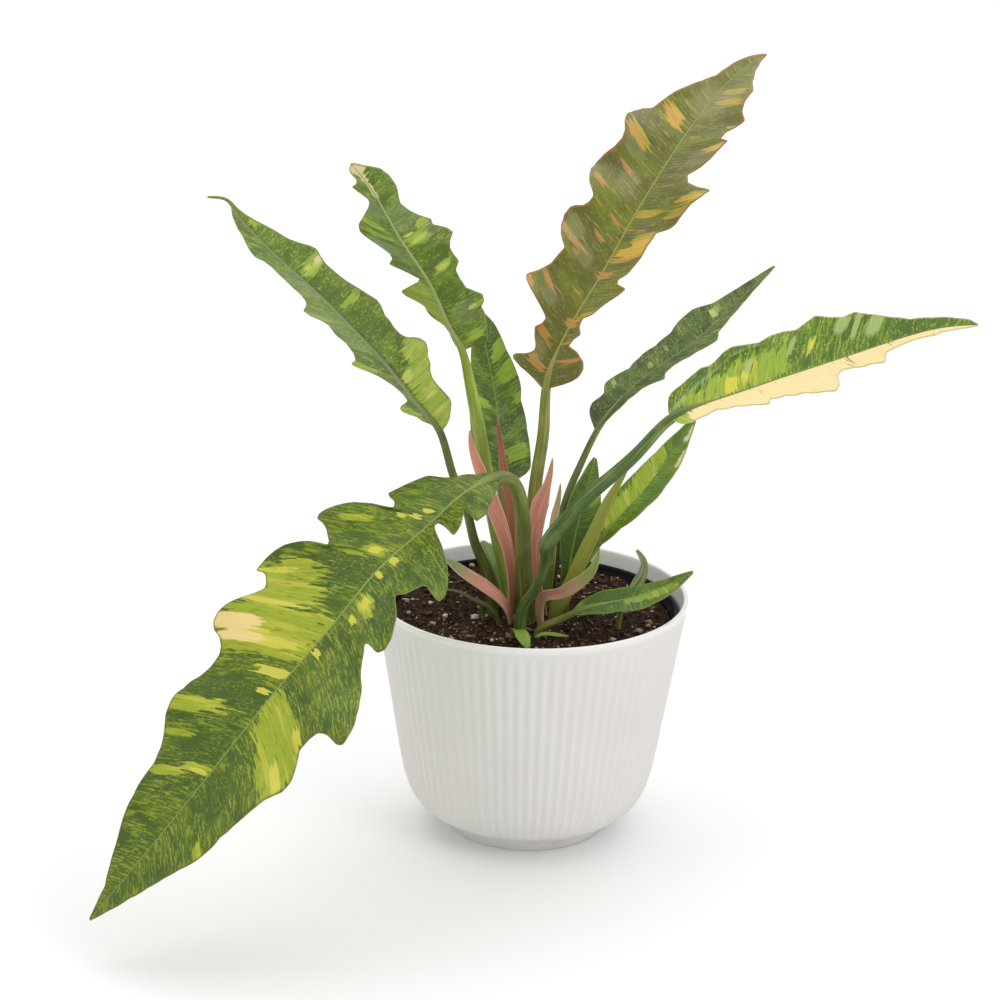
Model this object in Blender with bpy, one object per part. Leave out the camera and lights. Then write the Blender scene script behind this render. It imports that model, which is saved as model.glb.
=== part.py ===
import math

import bpy
import numpy as np

# A ring of fire philodendron in a black grower's pot, standing in a white fluted cover pot.
# Metres, +Z up. The origin is the centre of the cover pot's flat base.
# The camera of the photograph looks along +Y, so +X is the plant's right side as seen there.

MM = 0.001

# cover pot
POT_RIM_R = 90.0
POT_HEIGHT = 141.0
POT_FOOT_R = 46.0
POT_WALL = 3.0
FLUTES = 84
FLUTE_DEPTH = 1.1

# grower's pot inside it, and its soil
INNER_RIM_R = 84.2
INNER_RIM_Z = 133.0
INNER_FLOOR_Z = 15.8
INNER_WALL = 1.5
SOIL_Z = 126.0

# plant
BLADE = 0.8
ROOT_Z = 116.0
STEM_R = 11.0
CLEAR = 0.35
VEIN_SLOPE = 0.45


for old in list(bpy.data.objects):
    bpy.data.objects.remove(old, do_unlink=True)


def material(name, colour, rough=0.5):
    mat = bpy.data.materials.new(name)
    mat.use_nodes = True
    shader = mat.node_tree.nodes["Principled BSDF"]
    shader.inputs["Base Color"].default_value = (*colour, 1.0)
    shader.inputs["Roughness"].default_value = rough
    return mat


WHITE_GLAZE = material("white_pot", (0.80, 0.79, 0.76), 0.45)
BLACK_PLASTIC = material("black_plastic", (0.02, 0.02, 0.022), 0.4)
SOIL = material("potting_mix", (0.07, 0.04, 0.025), 0.95)
STEM_GREEN = material("stem_green", (0.16, 0.22, 0.06), 0.5)


def add_mesh(name, verts, faces, mat):
    mesh = bpy.data.meshes.new(name)
    mesh.from_pydata([tuple(float(c) * MM for c in v) for v in verts], [], faces)
    mesh.update()
    mesh.materials.append(mat)
    obj = bpy.data.objects.new(name, mesh)
    bpy.context.scene.collection.objects.link(obj)
    return obj


def lathe(name, rings, mat, height=None):
    """Closed turned body from (r, z, columns, flute share) rings; r = 0 at both ends."""
    verts = []
    rows = []
    for r, z, columns, flute in rings:
        if r == 0.0:
            rows.append([len(verts)])
            verts.append((0.0, 0.0, z))
            continue
        row = []
        for c in range(columns):
            a = 2.0 * math.pi * c / columns
            rr = r - (FLUTE_DEPTH * flute if c % 2 else 0.0)
            x = rr * math.cos(a)
            y = rr * math.sin(a)
            row.append(len(verts))
            verts.append((x, y, z + (height(x, y) if height and flute < 0 else 0.0)))
        rows.append(row)
    faces = []
    for lower, upper in zip(rows, rows[1:]):
        fine = max(len(lower), len(upper))
        for c in range(fine):
            a0 = lower[c * len(lower) // fine]
            a1 = lower[(c + 1) * len(lower) // fine % len(lower)]
            b0 = upper[c * len(upper) // fine]
            b1 = upper[(c + 1) * len(upper) // fine % len(upper)]
            if a0 != a1:
                faces.append((a0, a1, b1))
            if b0 != b1:
                faces.append((a0, b1, b0))
    return add_mesh(name, verts, faces, mat)


# Cover pot: plain flat foot, rounded shoulder, straight flared wall with flutes, smooth rim band.
slope = (POT_RIM_R - 74.3) / (POT_HEIGHT - 45.0)


def wall_r(z):
    return 74.3 + slope * (z - 45.0)


RIBBED = FLUTES * 2
ROUND = FLUTES // 2
cover_rings = [
    (0.0, 0.0, 1, 0),
    (POT_FOOT_R - 0.6, 0.0, ROUND, 0),
    (POT_FOOT_R, 0.6, ROUND, 0),
    (49.6, 9.0, ROUND, 0),
    (56.0, 11.2, ROUND, 0),
    (61.5, 14.0, RIBBED, 0.3),
    (66.0, 19.0, RIBBED, 1),
    (70.2, 28.0, RIBBED, 1),
    (wall_r(45.0), 45.0, RIBBED, 1),
    (wall_r(118.0), 118.0, RIBBED, 1),
    (wall_r(131.0), 131.0, RIBBED, 0),
    (POT_RIM_R, POT_HEIGHT - 1.0, FLUTES, 0),
    (POT_RIM_R - 1.0, POT_HEIGHT, FLUTES, 0),
    (POT_RIM_R - POT_WALL, POT_HEIGHT - 0.6, FLUTES, 0),
    (wall_r(46.0) - POT_WALL, 46.0, ROUND, 0),
    (66.0, 26.5, ROUND, 0),
    (58.5, 15.5, ROUND, 0),
    (45.5, 15.5, ROUND, 0),
    (44.0, 4.5, ROUND, 0),
    (0.0, 4.5, 1, 0),
]
lathe("cover_pot", cover_rings, WHITE_GLAZE)

# Grower's pot: thin tapered cup with a turned-out rim band, standing on the step inside the cover pot.
inner_rings = [
    (0.0, INNER_FLOOR_Z, 1, 0),
    (55.5, INNER_FLOOR_Z, 48, 0),
    (57.5, INNER_FLOOR_Z + 2.0, 48, 0),
    (82.6, 125.0, 48, 0),
    (83.8, 125.6, 48, 0),
    (INNER_RIM_R, INNER_RIM_Z - 0.6, 48, 0),
    (INNER_RIM_R - 0.5, INNER_RIM_Z, 48, 0),
    (INNER_RIM_R - 2.2, INNER_RIM_Z - 0.3, 48, 0),
    (81.0, 125.0, 48, 0),
    (55.8, INNER_FLOOR_Z + 2.0, 48, 0),
    (0.0, INNER_FLOOR_Z + 2.0, 1, 0),
]
lathe("grower_pot", inner_rings, BLACK_PLASTIC)


def soil_height(x, y):
    a = 0.9 * math.sin(x * 0.11 + 1.3) * math.cos(y * 0.13 - 0.4)
    return a + 0.6 * math.sin(x * 0.23 - y * 0.19)


soil_rings = [
    (0.0, INNER_FLOOR_Z + 2.4, 1, 0),
    (54.8, INNER_FLOOR_Z + 2.4, 48, 0),
    (80.2, SOIL_Z - 3.0, 48, 0),
    (79.0, SOIL_Z - 0.6, 48, -1),
    (66.0, SOIL_Z, 24, -1),
    (48.0, SOIL_Z, 24, -1),
    (30.0, SOIL_Z, 24, -1),
    (13.0, SOIL_Z, 12, -1),
    (0.0, SOIL_Z, 1, 0),
]
soil = lathe("soil", soil_rings, SOIL, height=soil_height)

stem_rings = [
    (0.0, 96.0, 1, 0),
    (STEM_R - 3.0, 96.0, 16, 0),
    (STEM_R, 101.0, 16, 0),
    (STEM_R, 126.0, 16, 0),
    (STEM_R - 2.5, 129.5, 16, 0),
    (0.0, 131.0, 1, 0),
]
STEM_AT = (-4.0, 1.0)


def place(obj, x, y):
    for v in obj.data.vertices:
        v.co.x += x * MM
        v.co.y += y * MM


stem = lathe("crown_stem", stem_rings, STEM_GREEN)
place(stem, *STEM_AT)


def natural_spline(points, count):
    """Smooth curve through the route points, spaced by chord length."""
    p = np.array(points, dtype=float)
    gap = np.linalg.norm(np.diff(p, axis=0), axis=1) ** 0.75
    t = np.concatenate([[0.0], np.cumsum(gap)])
    m = len(p)
    h = np.diff(t)
    left = np.eye(m)
    right = np.zeros((m, 3))
    for i in range(1, m - 1):
        left[i, i - 1] = h[i - 1]
        left[i, i] = 2.0 * (h[i - 1] + h[i])
        left[i, i + 1] = h[i]
        right[i] = 6.0 * ((p[i + 1] - p[i]) / h[i] - (p[i] - p[i - 1]) / h[i - 1])
    bend = np.linalg.solve(left, right)
    u = np.linspace(0.0, t[-1], count)
    k = np.clip(np.searchsorted(t, u, side="right") - 1, 0, m - 2)
    a = (t[k + 1] - u)[:, None]
    b = (u - t[k])[:, None]
    hk = h[k][:, None]
    out = bend[k] * a ** 3 / (6.0 * hk) + bend[k + 1] * b ** 3 / (6.0 * hk)
    return out + (p[k] / hk - bend[k] * hk / 6.0) * a + (p[k + 1] / hk - bend[k + 1] * hk / 6.0) * b


class Midrib:
    """Route of one leaf: stalk for negative lengths, blade from 0 to its tip."""

    def __init__(self, route, blade_from, face_base, face_tip, fold):
        q = natural_spline(route, 600)
        s = np.concatenate([[0.0], np.cumsum(np.linalg.norm(np.diff(q, axis=0), axis=1))])
        j = int(np.linalg.norm(q - np.array(route[blade_from], dtype=float), axis=1).argmin())
        self.q = q
        self.s = s - s[j]
        self.length = float(self.s[-1])
        self.stalk = float(s[j])
        t = np.gradient(q, axis=0)
        t /= np.linalg.norm(t, axis=1, keepdims=True)
        share = np.clip(self.s / max(self.length, 1.0), 0.0, 1.0)[:, None]
        face = np.array(face_base, dtype=float) * (1.0 - share) + np.array(face_tip, dtype=float) * share
        n = face - (face * t).sum(1)[:, None] * t
        n /= np.linalg.norm(n, axis=1, keepdims=True)
        for i in range(j - 1, -1, -1):
            turned = n[i + 1] - (n[i + 1] @ t[i]) * t[i]
            n[i] = turned / np.linalg.norm(turned)
        self.t = t
        self.n = n
        self.b = np.cross(t, n)
        self.fold = fold

    def frame(self, s):
        cols = []
        for rows in (self.q, self.t, self.n, self.b):
            cols.append(np.array([np.interp(s, self.s, rows[:, i]) for i in range(3)]))
        return cols

    def point(self, along, out, ripple):
        s = min(max(along, 0.0), self.length)
        c, t, n, b = self.frame(s)
        angle = math.radians(self.fold[0] + (self.fold[1] - self.fold[0]) * s / self.length)
        reach = abs(out)
        size, pitch, shift = ripple
        side = 1.7 if out > 0 else 0.0
        wave = size * (reach / 30.0) ** 2 * math.sin(2.0 * math.pi * (along / pitch + shift) + side)
        lift = reach * math.sin(angle) + wave
        return c + (along - s) * t + out * math.cos(angle) * b + lift * n

    def normal(self, along, out, ripple):
        e = 0.5
        da = self.point(along + e, out, ripple) - self.point(along - e, out, ripple)
        dw = self.point(along, out + e, ripple) - self.point(along, out - e, ripple)
        n = np.cross(dw, da)
        return n / np.linalg.norm(n)


def edge_rows(corners, rows, length):
    """Give every corner of one side of the outline a row of its own, and fill in between."""
    vein = [a - VEIN_SLOPE * w for a, w in corners]
    last = 0
    slots = []
    for i, v in enumerate(vein):
        wanted = int(round((rows - 1) * max(v, 0.0) / length))
        left_over = len(corners) - 1 - i
        last = min(max(wanted, last + 1 if slots else 0), rows - 1 - left_over)
        slots.append(last)
    slots[0] = 0
    slots[-1] = rows - 1
    k = np.arange(rows)
    return np.interp(k, slots, [c[0] for c in corners]), np.interp(k, slots, [c[1] for c in corners])


COLUMNS = (-1.0, -0.58, -0.2, 0.0, 0.2, 0.58, 1.0)
TOP_ANGLES = (168, 138, 112, 90, 68, 42, 12)


def ring_faces(rings, verts):
    """Close a row of 14-point rings: 7 above, 7 below, diagonals alike on both faces."""
    faces = []
    for r in range(len(rings) - 1):
        p = rings[r]
        q = rings[r + 1]
        for c in range(6):
            faces.append((p[c], p[c + 1], q[c + 1]))
            faces.append((p[c], q[c + 1], q[c]))
            faces.append((p[7 + c], q[8 + c], p[8 + c]))
            faces.append((p[7 + c], q[7 + c], q[8 + c]))
        faces.append((p[0], q[0], q[7]))
        faces.append((p[0], q[7], p[7]))
        faces.append((p[6], q[13], q[6]))
        faces.append((p[6], p[13], q[13]))
    foot = rings[0]
    tip = rings[-1]
    for c in range(6):
        faces.append((foot[c + 1], foot[c], foot[7 + c]))
        faces.append((foot[c + 1], foot[7 + c], foot[8 + c]))
        faces.append((tip[c], tip[c + 1], tip[8 + c]))
        faces.append((tip[c], tip[8 + c], tip[7 + c]))
    return faces


def stalk_ring(rib, s, wide, thick):
    c, t, n, b = rib.frame(s)
    ring = []
    for sign in (1.0, -1.0):
        for deg in TOP_ANGLES:
            a = math.radians(deg)
            ring.append(c + b * (wide * math.cos(a)) + n * (sign * thick * math.sin(a)))
    return ring


def blend_radius(pairs, share):
    return float(np.interp(share, [p[0] for p in pairs], [p[1] for p in pairs]))


CUTTERS = []


def leaf(name, route, blade_from, stalk, face, fold, plus, minus, rows, colour, ripple=(0, 60, 0)):
    """One leaf, stalk and blade in one body.

    route: points of stalk and midrib in mm; stalk: (share of its length, radius) sizes.
    plus, minus: corners of the two sides, millimetres along the midrib and out from it.
    """
    rib = Midrib(route, blade_from, face[0], face[-1], fold)
    verts = []
    rings = []

    def push(points):
        rings.append(list(range(len(verts), len(verts) + len(points))))
        verts.extend(points)

    steps = max(4, int(rib.stalk / 18.0))
    foot = []
    for i in range(steps):
        share = i / steps
        radius = blend_radius(stalk, share)
        at = -rib.stalk * (1.0 - share)
        push(stalk_ring(rib, at, radius, radius * 0.94))
        foot.append((*rib.frame(at), radius))
    neck = stalk[-1][1]
    scale_p = [(a * rib.length / plus[-1][0], w) for a, w in plus]
    scale_m = [(a * rib.length / minus[-1][0], w) for a, w in minus]
    ap, wp = edge_rows(scale_p, rows, rib.length)
    am, wm = edge_rows(scale_m, rows, rib.length)
    middle = np.minimum(ap - VEIN_SLOPE * wp, am - VEIN_SLOPE * wm) * 0.5
    middle += np.maximum(ap - VEIN_SLOPE * wp, am - VEIN_SLOPE * wm) * 0.5
    spread = np.linspace(0.0, rib.length - 1.0, rows)
    middle = np.maximum.accumulate(0.35 * np.maximum(middle, 0.0) + 0.65 * spread)
    for k in range(rows):
        m = float(middle[k])
        share = m / rib.length
        keel = (neck * 0.8) * (1.0 - share) ** 0.8 + 0.25
        crown = neck * 0.55 * math.exp(-m / 9.0)
        top = []
        low = []
        for v in COLUMNS:
            a_edge, w_edge = (ap[k], wp[k]) if v > 0 else (am[k], wm[k])
            w_edge = max(float(w_edge), 0.9)
            reach = w_edge * abs(v)
            if abs(v) == 0.2:
                reach = min(max(keel, 0.35), 0.4 * w_edge)
            along = m + (a_edge - m) * (reach / w_edge) ** 1.3
            along = min(along, rib.length - 0.2)
            out = math.copysign(reach, v) if v else 0.0
            p = rib.point(along, out, ripple)
            n = rib.normal(along, out if out else 0.01, ripple)
            if v == 0.0:
                n = rib.frame(min(max(along, 0.0), rib.length))[2]
            deep = BLADE * 0.5
            raised = BLADE * 0.5
            if v == 0.0:
                deep += keel
                raised += crown
            elif abs(v) == 0.2:
                deep += keel * 0.45
                raised += crown * 0.6
            top.append(p + n * raised)
            low.append(p - n * deep)
        push(top + low)
    made = add_mesh(name, verts, ring_faces(rings, verts), material(name + "_skin", colour, 0.4))
    socket(foot)
    return made


def sheath(name, route, sizes, face, colour, rings_count=9):
    """Flat tapering sheath or small shoot: (share of length, half width, half thickness) sizes."""
    rib = Midrib(route, len(route) - 1, face, face, (0, 0))
    span = rib.stalk
    verts = []
    rows = []
    foot = []
    for i in range(rings_count):
        u = i / (rings_count - 1)
        wide = float(np.interp(u, [p[0] for p in sizes], [p[1] for p in sizes]))
        thick = float(np.interp(u, [p[0] for p in sizes], [p[2] for p in sizes]))
        c, t, nn, b = rib.frame(-span * (1.0 - u))
        foot.append((c, t, nn, b, wide))
        row = []
        for k in range(8):
            a = math.radians(45.0 * k)
            row.append(len(verts))
            verts.append(c + b * (wide * math.cos(a)) + nn * (thick * math.sin(a)))
        rows.append(row)
    faces = []
    for lower, upper in zip(rows, rows[1:]):
        for k in range(8):
            d = (k + 1) % 8
            faces.append((lower[k], upper[d], lower[d]))
            faces.append((lower[k], upper[k], upper[d]))
    for k in range(1, 7):
        faces.append((rows[0][0], rows[0][k], rows[0][k + 1]))
        faces.append((rows[-1][0], rows[-1][k + 1], rows[-1][k]))
    made = add_mesh(name, verts, faces, material(name + "_skin", colour, 0.45))
    socket(foot)
    return made


def socket(foot):
    """Plain hole for a stalk's foot, a little wider than the stalk, cut later from soil and stem."""
    root = foot[0][0]
    near_stem = math.hypot(root[0] - STEM_AT[0], root[1] - STEM_AT[1]) < 19.0
    clear_z = SOIL_Z + (9.0 if near_stem else 3.0)
    stop = next((i for i, ring in enumerate(foot) if ring[0][2] > clear_z), len(foot) - 1)
    verts = []
    rows = []
    for i in range(-1, stop + 1):
        c, t, n, b, wide = foot[max(i, 0)]
        if i < 0:
            c = c - t * CLEAR
        w = wide + 2.0 * CLEAR
        row = []
        for k in range(10):
            a = math.radians(36.0 * k)
            row.append(len(verts))
            verts.append(c + b * (w * math.cos(a)) + n * (w * math.sin(a)))
        rows.append(row)
    faces = []
    for lower, upper in zip(rows, rows[1:]):
        for k in range(10):
            d = (k + 1) % 10
            faces.append((lower[k], upper[k], upper[d], lower[d]))
    faces.append(tuple(rows[0]))
    faces.append(tuple(reversed(rows[-1])))
    cutter = add_mesh("cut_" + str(len(CUTTERS)), verts, faces, STEM_GREEN)
    cutter["near_stem"] = near_stem
    CUTTERS.append(cutter)


# The big leaf that arches over the pot's left front and hangs down.
leaf(
    "leaf_front_left",
    [(0, -6, 116), (-2.5, -8.5, 140), (-5, -12.5, 163), (-7, -21, 198), (-13, -33, 219), (-22, -46, 224),
     (-42, -72, 221), (-56, -92, 213), (-81, -120, 198), (-101, -140, 178), (-130, -160, 147),
     (-162, -178, 109), (-194, -190, 69), (-228, -200, 28)],
    5,
    [(0, 5.4), (0.4, 5.0), (1, 3.9)],
    [(-0.2, -0.65, 0.75), (-0.45, -0.6, 0.65)],
    (12, 8),
    [(0, 3.9), (12, 14), (33, 21), (56, 30), (66, 21), (81, 43), (95, 47), (106, 30), (121, 53),
     (139, 54), (147, 43), (167, 55), (180, 50), (189, 37), (212, 43), (227, 44), (239, 36), (265, 30),
     (290, 25), (305, 17), (323, 6), (341, 0.9)],
    [(0, 3.9), (8, 12), (28, 20), (44, 21), (48, 10), (58, 16), (62, 6), (71, 17), (94, 42),
     (103, 45), (105, 29), (122, 31), (141, 37), (143, 28), (172, 55), (179, 62), (188, 63), (190, 46),
     (225, 48), (247, 37), (276, 31), (303, 15), (323, 8), (341, 0.9)],
    38,
    (0.12, 0.28, 0.06),
    (1.6, 58, 0.1),
)

# The leaf that leans out to the upper left and shows its underside.
leaf(
    "leaf_left",
    [(-22, 4, 116), (-22.5, 3.5, 135), (-26, 3, 153), (-33, 2, 170), (-38, 1, 190), (-46, 0.5, 210.5),
     (-54, -1, 237), (-60.5, -4, 247), (-72, -12, 264), (-85.5, -22, 284.5), (-99.5, -33, 303),
     (-112.5, -45, 320.5), (-125.5, -57, 336.5), (-143.5, -72, 358), (-159.5, -85, 380),
     (-164, -90, 387), (-173, -97, 390)],
    6,
    [(0, 3.6), (0.3, 3.3), (0.5, 2.7), (1, 2.2)],
    [(0.4, 0.8, 0.45), (0.4, 0.8, 0.45)],
    (12, 8),
    [(0, 2.2), (6, 8), (14, 16), (17, 18), (23, 9), (32, 10), (43, 16), (55, 28), (60, 21), (74, 19),
     (92, 21), (98, 26), (104, 26), (113, 18), (145, 15), (160, 17), (179, 11), (194, 5), (202, 1.4),
     (219, 0.9)],
    [(0, 2.2), (5, 10), (14, 18), (23, 20), (36, 18), (52, 24), (65, 31), (70, 24), (76, 21),
     (104, 25), (127, 21), (142, 19), (156, 22), (166, 15), (184, 8), (197, 2), (219, 0.9)],
    34,
    (0.14, 0.20, 0.08),
    (1.4, 52, 0.3),
)

# The upright leaf left of the middle, seen from below.
leaf(
    "leaf_upper_left",
    [(-12, 4, 116), (-11, 5, 134), (-15, 8, 151), (-22, 12, 180), (-28, 14, 210), (-32, 12, 235),
     (-37, 6.5, 260.5), (-42, 0, 283.5), (-48, -8.5, 298), (-53.5, -17, 312.5), (-61, -28, 331.5),
     (-76, -48, 360), (-89.5, -66, 388.5), (-100, -78, 405)],
    7,
    [(0, 4.5), (0.5, 4.3), (0.75, 3.7), (0.9, 3.0), (1, 2.2)],
    [(0.3, 0.8, 0.5), (0.3, 0.8, 0.5)],
    (14, 10),
    [(0, 2.2), (12, 3), (21, 5), (26, 11), (34, 13), (46, 22), (52, 9), (57, 6), (68, 21), (75, 16),
     (92, 23), (103, 24), (113, 15), (125, 7), (136, 12), (142, 6), (149, 6), (157, 0.9)],
    [(0, 2.2), (2, 15), (10, 19), (31, 21), (40, 26), (48, 17), (64, 18), (68, 22), (76, 20), (95, 31),
     (100, 20), (110, 16), (121, 10), (135, 13), (147, 12), (152, 4), (157, 0.9)],
    31,
    (0.30, 0.36, 0.08),
    (1.2, 44, 0.5),
)

# A short broad leaf without lobes behind it.
leaf(
    "leaf_back_broad",
    [(-12, 18, 116), (-14, 22, 152), (-18, 34, 185), (-19, 40, 194), (-20, 50, 216), (-23, 60, 237),
     (-29, 68, 265), (-34, 72, 288)],
    3,
    [(0, 3.0), (1, 2.4)],
    [(0.4, -0.8, 0.4), (0.4, -0.8, 0.4)],
    (8, 8),
    [(0, 2.4), (2, 12), (8, 19), (29, 17), (46, 15), (60, 16), (75, 12), (91, 8), (101, 0.9)],
    [(0, 2.4), (3, 12), (10, 18), (30, 19), (52, 17), (72, 12), (90, 6), (101, 0.9)],
    14,
    (0.10, 0.24, 0.05),
    (0.8, 60, 0.2),
)

# The newest and tallest leaf, olive with orange.
leaf(
    "leaf_tall",
    [(0, 9, 116), (0, 10, 145), (0, 12, 168), (0, 14, 186), (2, 20, 208), (5, 28, 230), (6, 37, 252),
     (11, 42, 270), (23, 50, 293), (36, 60, 313), (52, 74, 340), (71, 92, 369), (91, 112, 395),
     (114, 134, 417), (132, 150, 426)],
    6,
    [(0, 4.5), (0.5, 4.0), (0.85, 3.4), (1, 2.7)],
    [(-0.35, -0.75, 0.55), (-0.4, -0.7, 0.6)],
    (12, 8),
    [(0, 2.7), (9, 15), (17, 21), (22, 19), (26, 6), (40, 7), (51, 11), (71, 19), (75, 11), (88, 18),
     (108, 20), (121, 31), (141, 36), (144, 19), (152, 21), (174, 29), (177, 21), (193, 28), (201, 20),
     (214, 20), (224, 12), (242, 3), (249, 0.9)],
    [(0, 2.7), (6, 15), (11, 24), (16, 11), (24, 17), (36, 12), (42, 23), (51, 40), (67, 30), (78, 25),
     (90, 38), (104, 35), (112, 24), (131, 40), (141, 38), (154, 30), (170, 38), (179, 28), (198, 19),
     (222, 8), (238, 6), (249, 0.9)],
    36,
    (0.20, 0.20, 0.06),
    (1.6, 55, 0.35),
)

# The narrow grey-green leaf at the back right.
leaf(
    "leaf_back_right",
    [(10, 17, 116), (12, 17, 142), (15, 20, 163), (17, 26, 179), (21, 34, 192), (27, 46, 203),
     (37, 62, 220), (50, 76, 234), (68, 90, 247), (92, 106, 260), (110, 120, 273), (128, 134, 287),
     (143, 146, 299)],
    6,
    [(0, 3.1), (0.4, 2.6), (1, 1.9)],
    [(-0.45, -0.25, 0.85), (-0.45, -0.25, 0.85)],
    (12, 8),
    [(0, 1.9), (10, 8), (19, 9), (34, 12), (45, 21), (52, 12), (68, 12), (91, 15), (99, 10), (123, 8),
     (142, 3), (157, 0.9)],
    [(0, 1.9), (8, 11), (16, 16), (24, 13), (34, 18), (44, 12), (56, 17), (87, 19), (101, 21),
     (112, 17), (129, 8), (140, 4), (157, 0.9)],
    24,
    (0.12, 0.22, 0.08),
    (1.0, 48, 0.1),
)

# The long leaf to the right, half green and half cream.
leaf(
    "leaf_right",
    [(-7, -20, 116), (-6, -21.5, 130), (-4.5, -22, 140), (0, -23, 148.5), (3.5, -25, 156), (6, -28, 165.5),
     (7.5, -30.5, 173), (7.5, -33, 180), (12, -35, 190), (18, -36, 198), (25, -37, 207), (38.5, -38.5, 221),
     (57, -40, 240), (74, -40, 259), (97, -38, 269), (133, -36, 282), (177, -38, 299), (216, -44, 314),
     (236, -50, 318)],
    13,
    [(0, 3.9), (0.15, 3.8), (0.25, 3.3), (0.34, 3.5), (0.40, 4.5), (0.44, 4.6), (0.55, 4.0), (0.8, 3.8),
     (1, 3.0)],
    [(-0.2, -0.5, 0.84), (-0.2, -0.5, 0.84)],
    (14, 12),
    [(0, 3.0), (6, 7), (26, 10), (53, 20), (56, 15), (74, 19), (90, 27), (93, 14), (119, 15),
     (121, 8), (134, 6), (150, 7), (161, 3), (175, 0.9)],
    [(0, 3.0), (3, 11), (12, 14), (20, 22), (32, 22), (41, 28), (59, 25), (69, 27), (81, 25),
     (90, 30), (109, 24), (115, 22), (139, 9), (165, 4), (175, 0.9)],
    28,
    (0.20, 0.36, 0.07),
    (1.2, 50, 0.25),
)

# The plain lance-shaped leaf at the lower right.
leaf(
    "leaf_lower_right",
    [(18, 2, 116), (20, 1, 136), (27, 1, 154), (37, 2, 170), (49, 4, 186), (63, 6, 202), (77, 10, 222),
     (91, 14, 244)],
    3,
    [(0, 3.0), (1, 2.2)],
    [(-0.5, -0.4, 0.75), (-0.5, -0.4, 0.75)],
    (10, 10),
    [(0, 2.2), (17, 9), (37, 14), (51, 15), (67, 14), (80, 8), (93, 0.9)],
    [(0, 2.2), (16, 11), (34, 15), (44, 14), (62, 10), (80, 5), (93, 0.9)],
    15,
    (0.28, 0.42, 0.07),
    (0.5, 60, 0.2),
)

# Small leaves of the side shoots.
leaf(
    "leaf_small_behind",
    [(17, 13, 116), (20, 12, 138), (22, 13, 156), (25, 16, 174), (29, 20, 191), (33, 26, 207),
     (35, 30, 213)],
    1,
    [(0, 2.4), (1, 2.0)],
    [(0.3, -0.8, 0.4), (0.3, -0.8, 0.4)],
    (10, 10),
    [(0, 2.0), (10, 6), (22, 11), (36, 14), (51, 11), (67, 6), (80, 0.9)],
    [(0, 2.0), (15, 5), (27, 8), (41, 9), (55, 9), (68, 5), (80, 0.9)],
    11,
    (0.10, 0.24, 0.05),
    (0.4, 60, 0.2),
)
leaf(
    "leaf_small_left",
    [(-20, 15, 116), (-19, 14, 132), (-21, 15, 142), (-24, 17, 152), (-29, 22, 164)],
    1,
    [(0, 2.0), (1, 1.7)],
    [(0.3, -0.85, 0.4), (0.3, -0.85, 0.4)],
    (10, 10),
    [(0, 1.7), (8, 6), (17, 9), (26, 7), (35, 0.9)],
    [(0, 1.7), (8, 5), (18, 6), (27, 4), (35, 0.9)],
    9,
    (0.16, 0.26, 0.12),
    (0.3, 60, 0.2),
)
leaf(
    "leaf_small_right",
    [(4, -25, 116), (4, -26, 127), (9, -28, 132), (16, -30, 136), (24, -32, 141), (38, -34, 147),
     (60, -38, 154), (76, -42, 163), (89, -46, 172)],
    4,
    [(0, 2.6), (1, 2.0)],
    [(-0.2, -0.5, 0.84), (-0.2, -0.5, 0.84)],
    (12, 10),
    [(0, 2.0), (10, 6), (27, 9), (48, 10), (60, 8), (74, 0.9)],
    [(0, 2.0), (12, 7), (24, 8), (38, 7), (55, 4), (74, 0.9)],
    12,
    (0.12, 0.26, 0.07),
    (0.4, 60, 0.2),
)
leaf(
    "leaf_small_curl",
    [(49, -17, 116), (50, -17, 132), (53, -18, 144), (58, -20, 152), (62, -22, 160), (63, -25, 169),
     (58, -28, 178)],
    2,
    [(0, 1.8), (1, 1.6)],
    [(-0.5, -0.6, 0.6), (-0.6, -0.6, 0.4)],
    (14, 14),
    [(0, 1.6), (8, 3.6), (18, 4), (28, 2.6), (38, 0.9)],
    [(0, 1.6), (8, 3.2), (18, 3.6), (28, 2.4), (38, 0.9)],
    8,
    (0.22, 0.34, 0.10),
    (0.2, 60, 0.2),
)

# Dried and coloured sheaths that wrapped each new leaf.
sheath(
    "sheath_pink_left",
    [(-10.5, -4.5, 116), (-11, -4.5, 134), (-11.5, -4, 150), (-13.5, -4, 164.5), (-16, -3.5, 174.5),
     (-20.5, -2, 187), (-25.5, -1, 200), (-31, 0, 214), (-36, 2, 228), (-37, 3, 236)],
    [(0, 2.2, 1.8), (0.3, 2.6, 1.4), (0.42, 3.4, 1.3), (0.55, 4.5, 1.1), (0.66, 4.5, 1.0), (0.85, 3.0, 0.8),
     (1, 0.9, 0.5)],
    (0.3, -0.9, 0.3),
    (0.55, 0.24, 0.18),
)
sheath(
    "sheath_brown_back",
    [(-4, 1, 116), (-4, 1, 132), (-7, 1, 148), (-11, 1, 172), (-14, 2, 196), (-17, 3, 213), (-20, 4, 231),
     (-22, 5, 243)],
    [(0, 1.8, 1.6), (0.4, 3.0, 1.1), (0.7, 2.6, 0.9), (1, 0.7, 0.5)],
    (0.1, -1, 0.2),
    (0.38, 0.16, 0.08),
)
sheath(
    "sheath_pink_centre",
    [(9, 0, 116), (5, 0, 136), (1.5, -1.5, 155), (0.5, -2.5, 171.5), (1.5, -3, 182), (3.5, -3, 194.5),
     (7.5, -3.5, 208), (10, -4, 223)],
    [(0, 2.4, 1.8), (0.3, 3.2, 1.5), (0.6, 4.6, 1.2), (0.74, 5.0, 1.1), (0.85, 2.4, 0.9), (1, 0.8, 0.5)],
    (0, -1, 0.2),
    (0.58, 0.26, 0.2),
)
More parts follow.
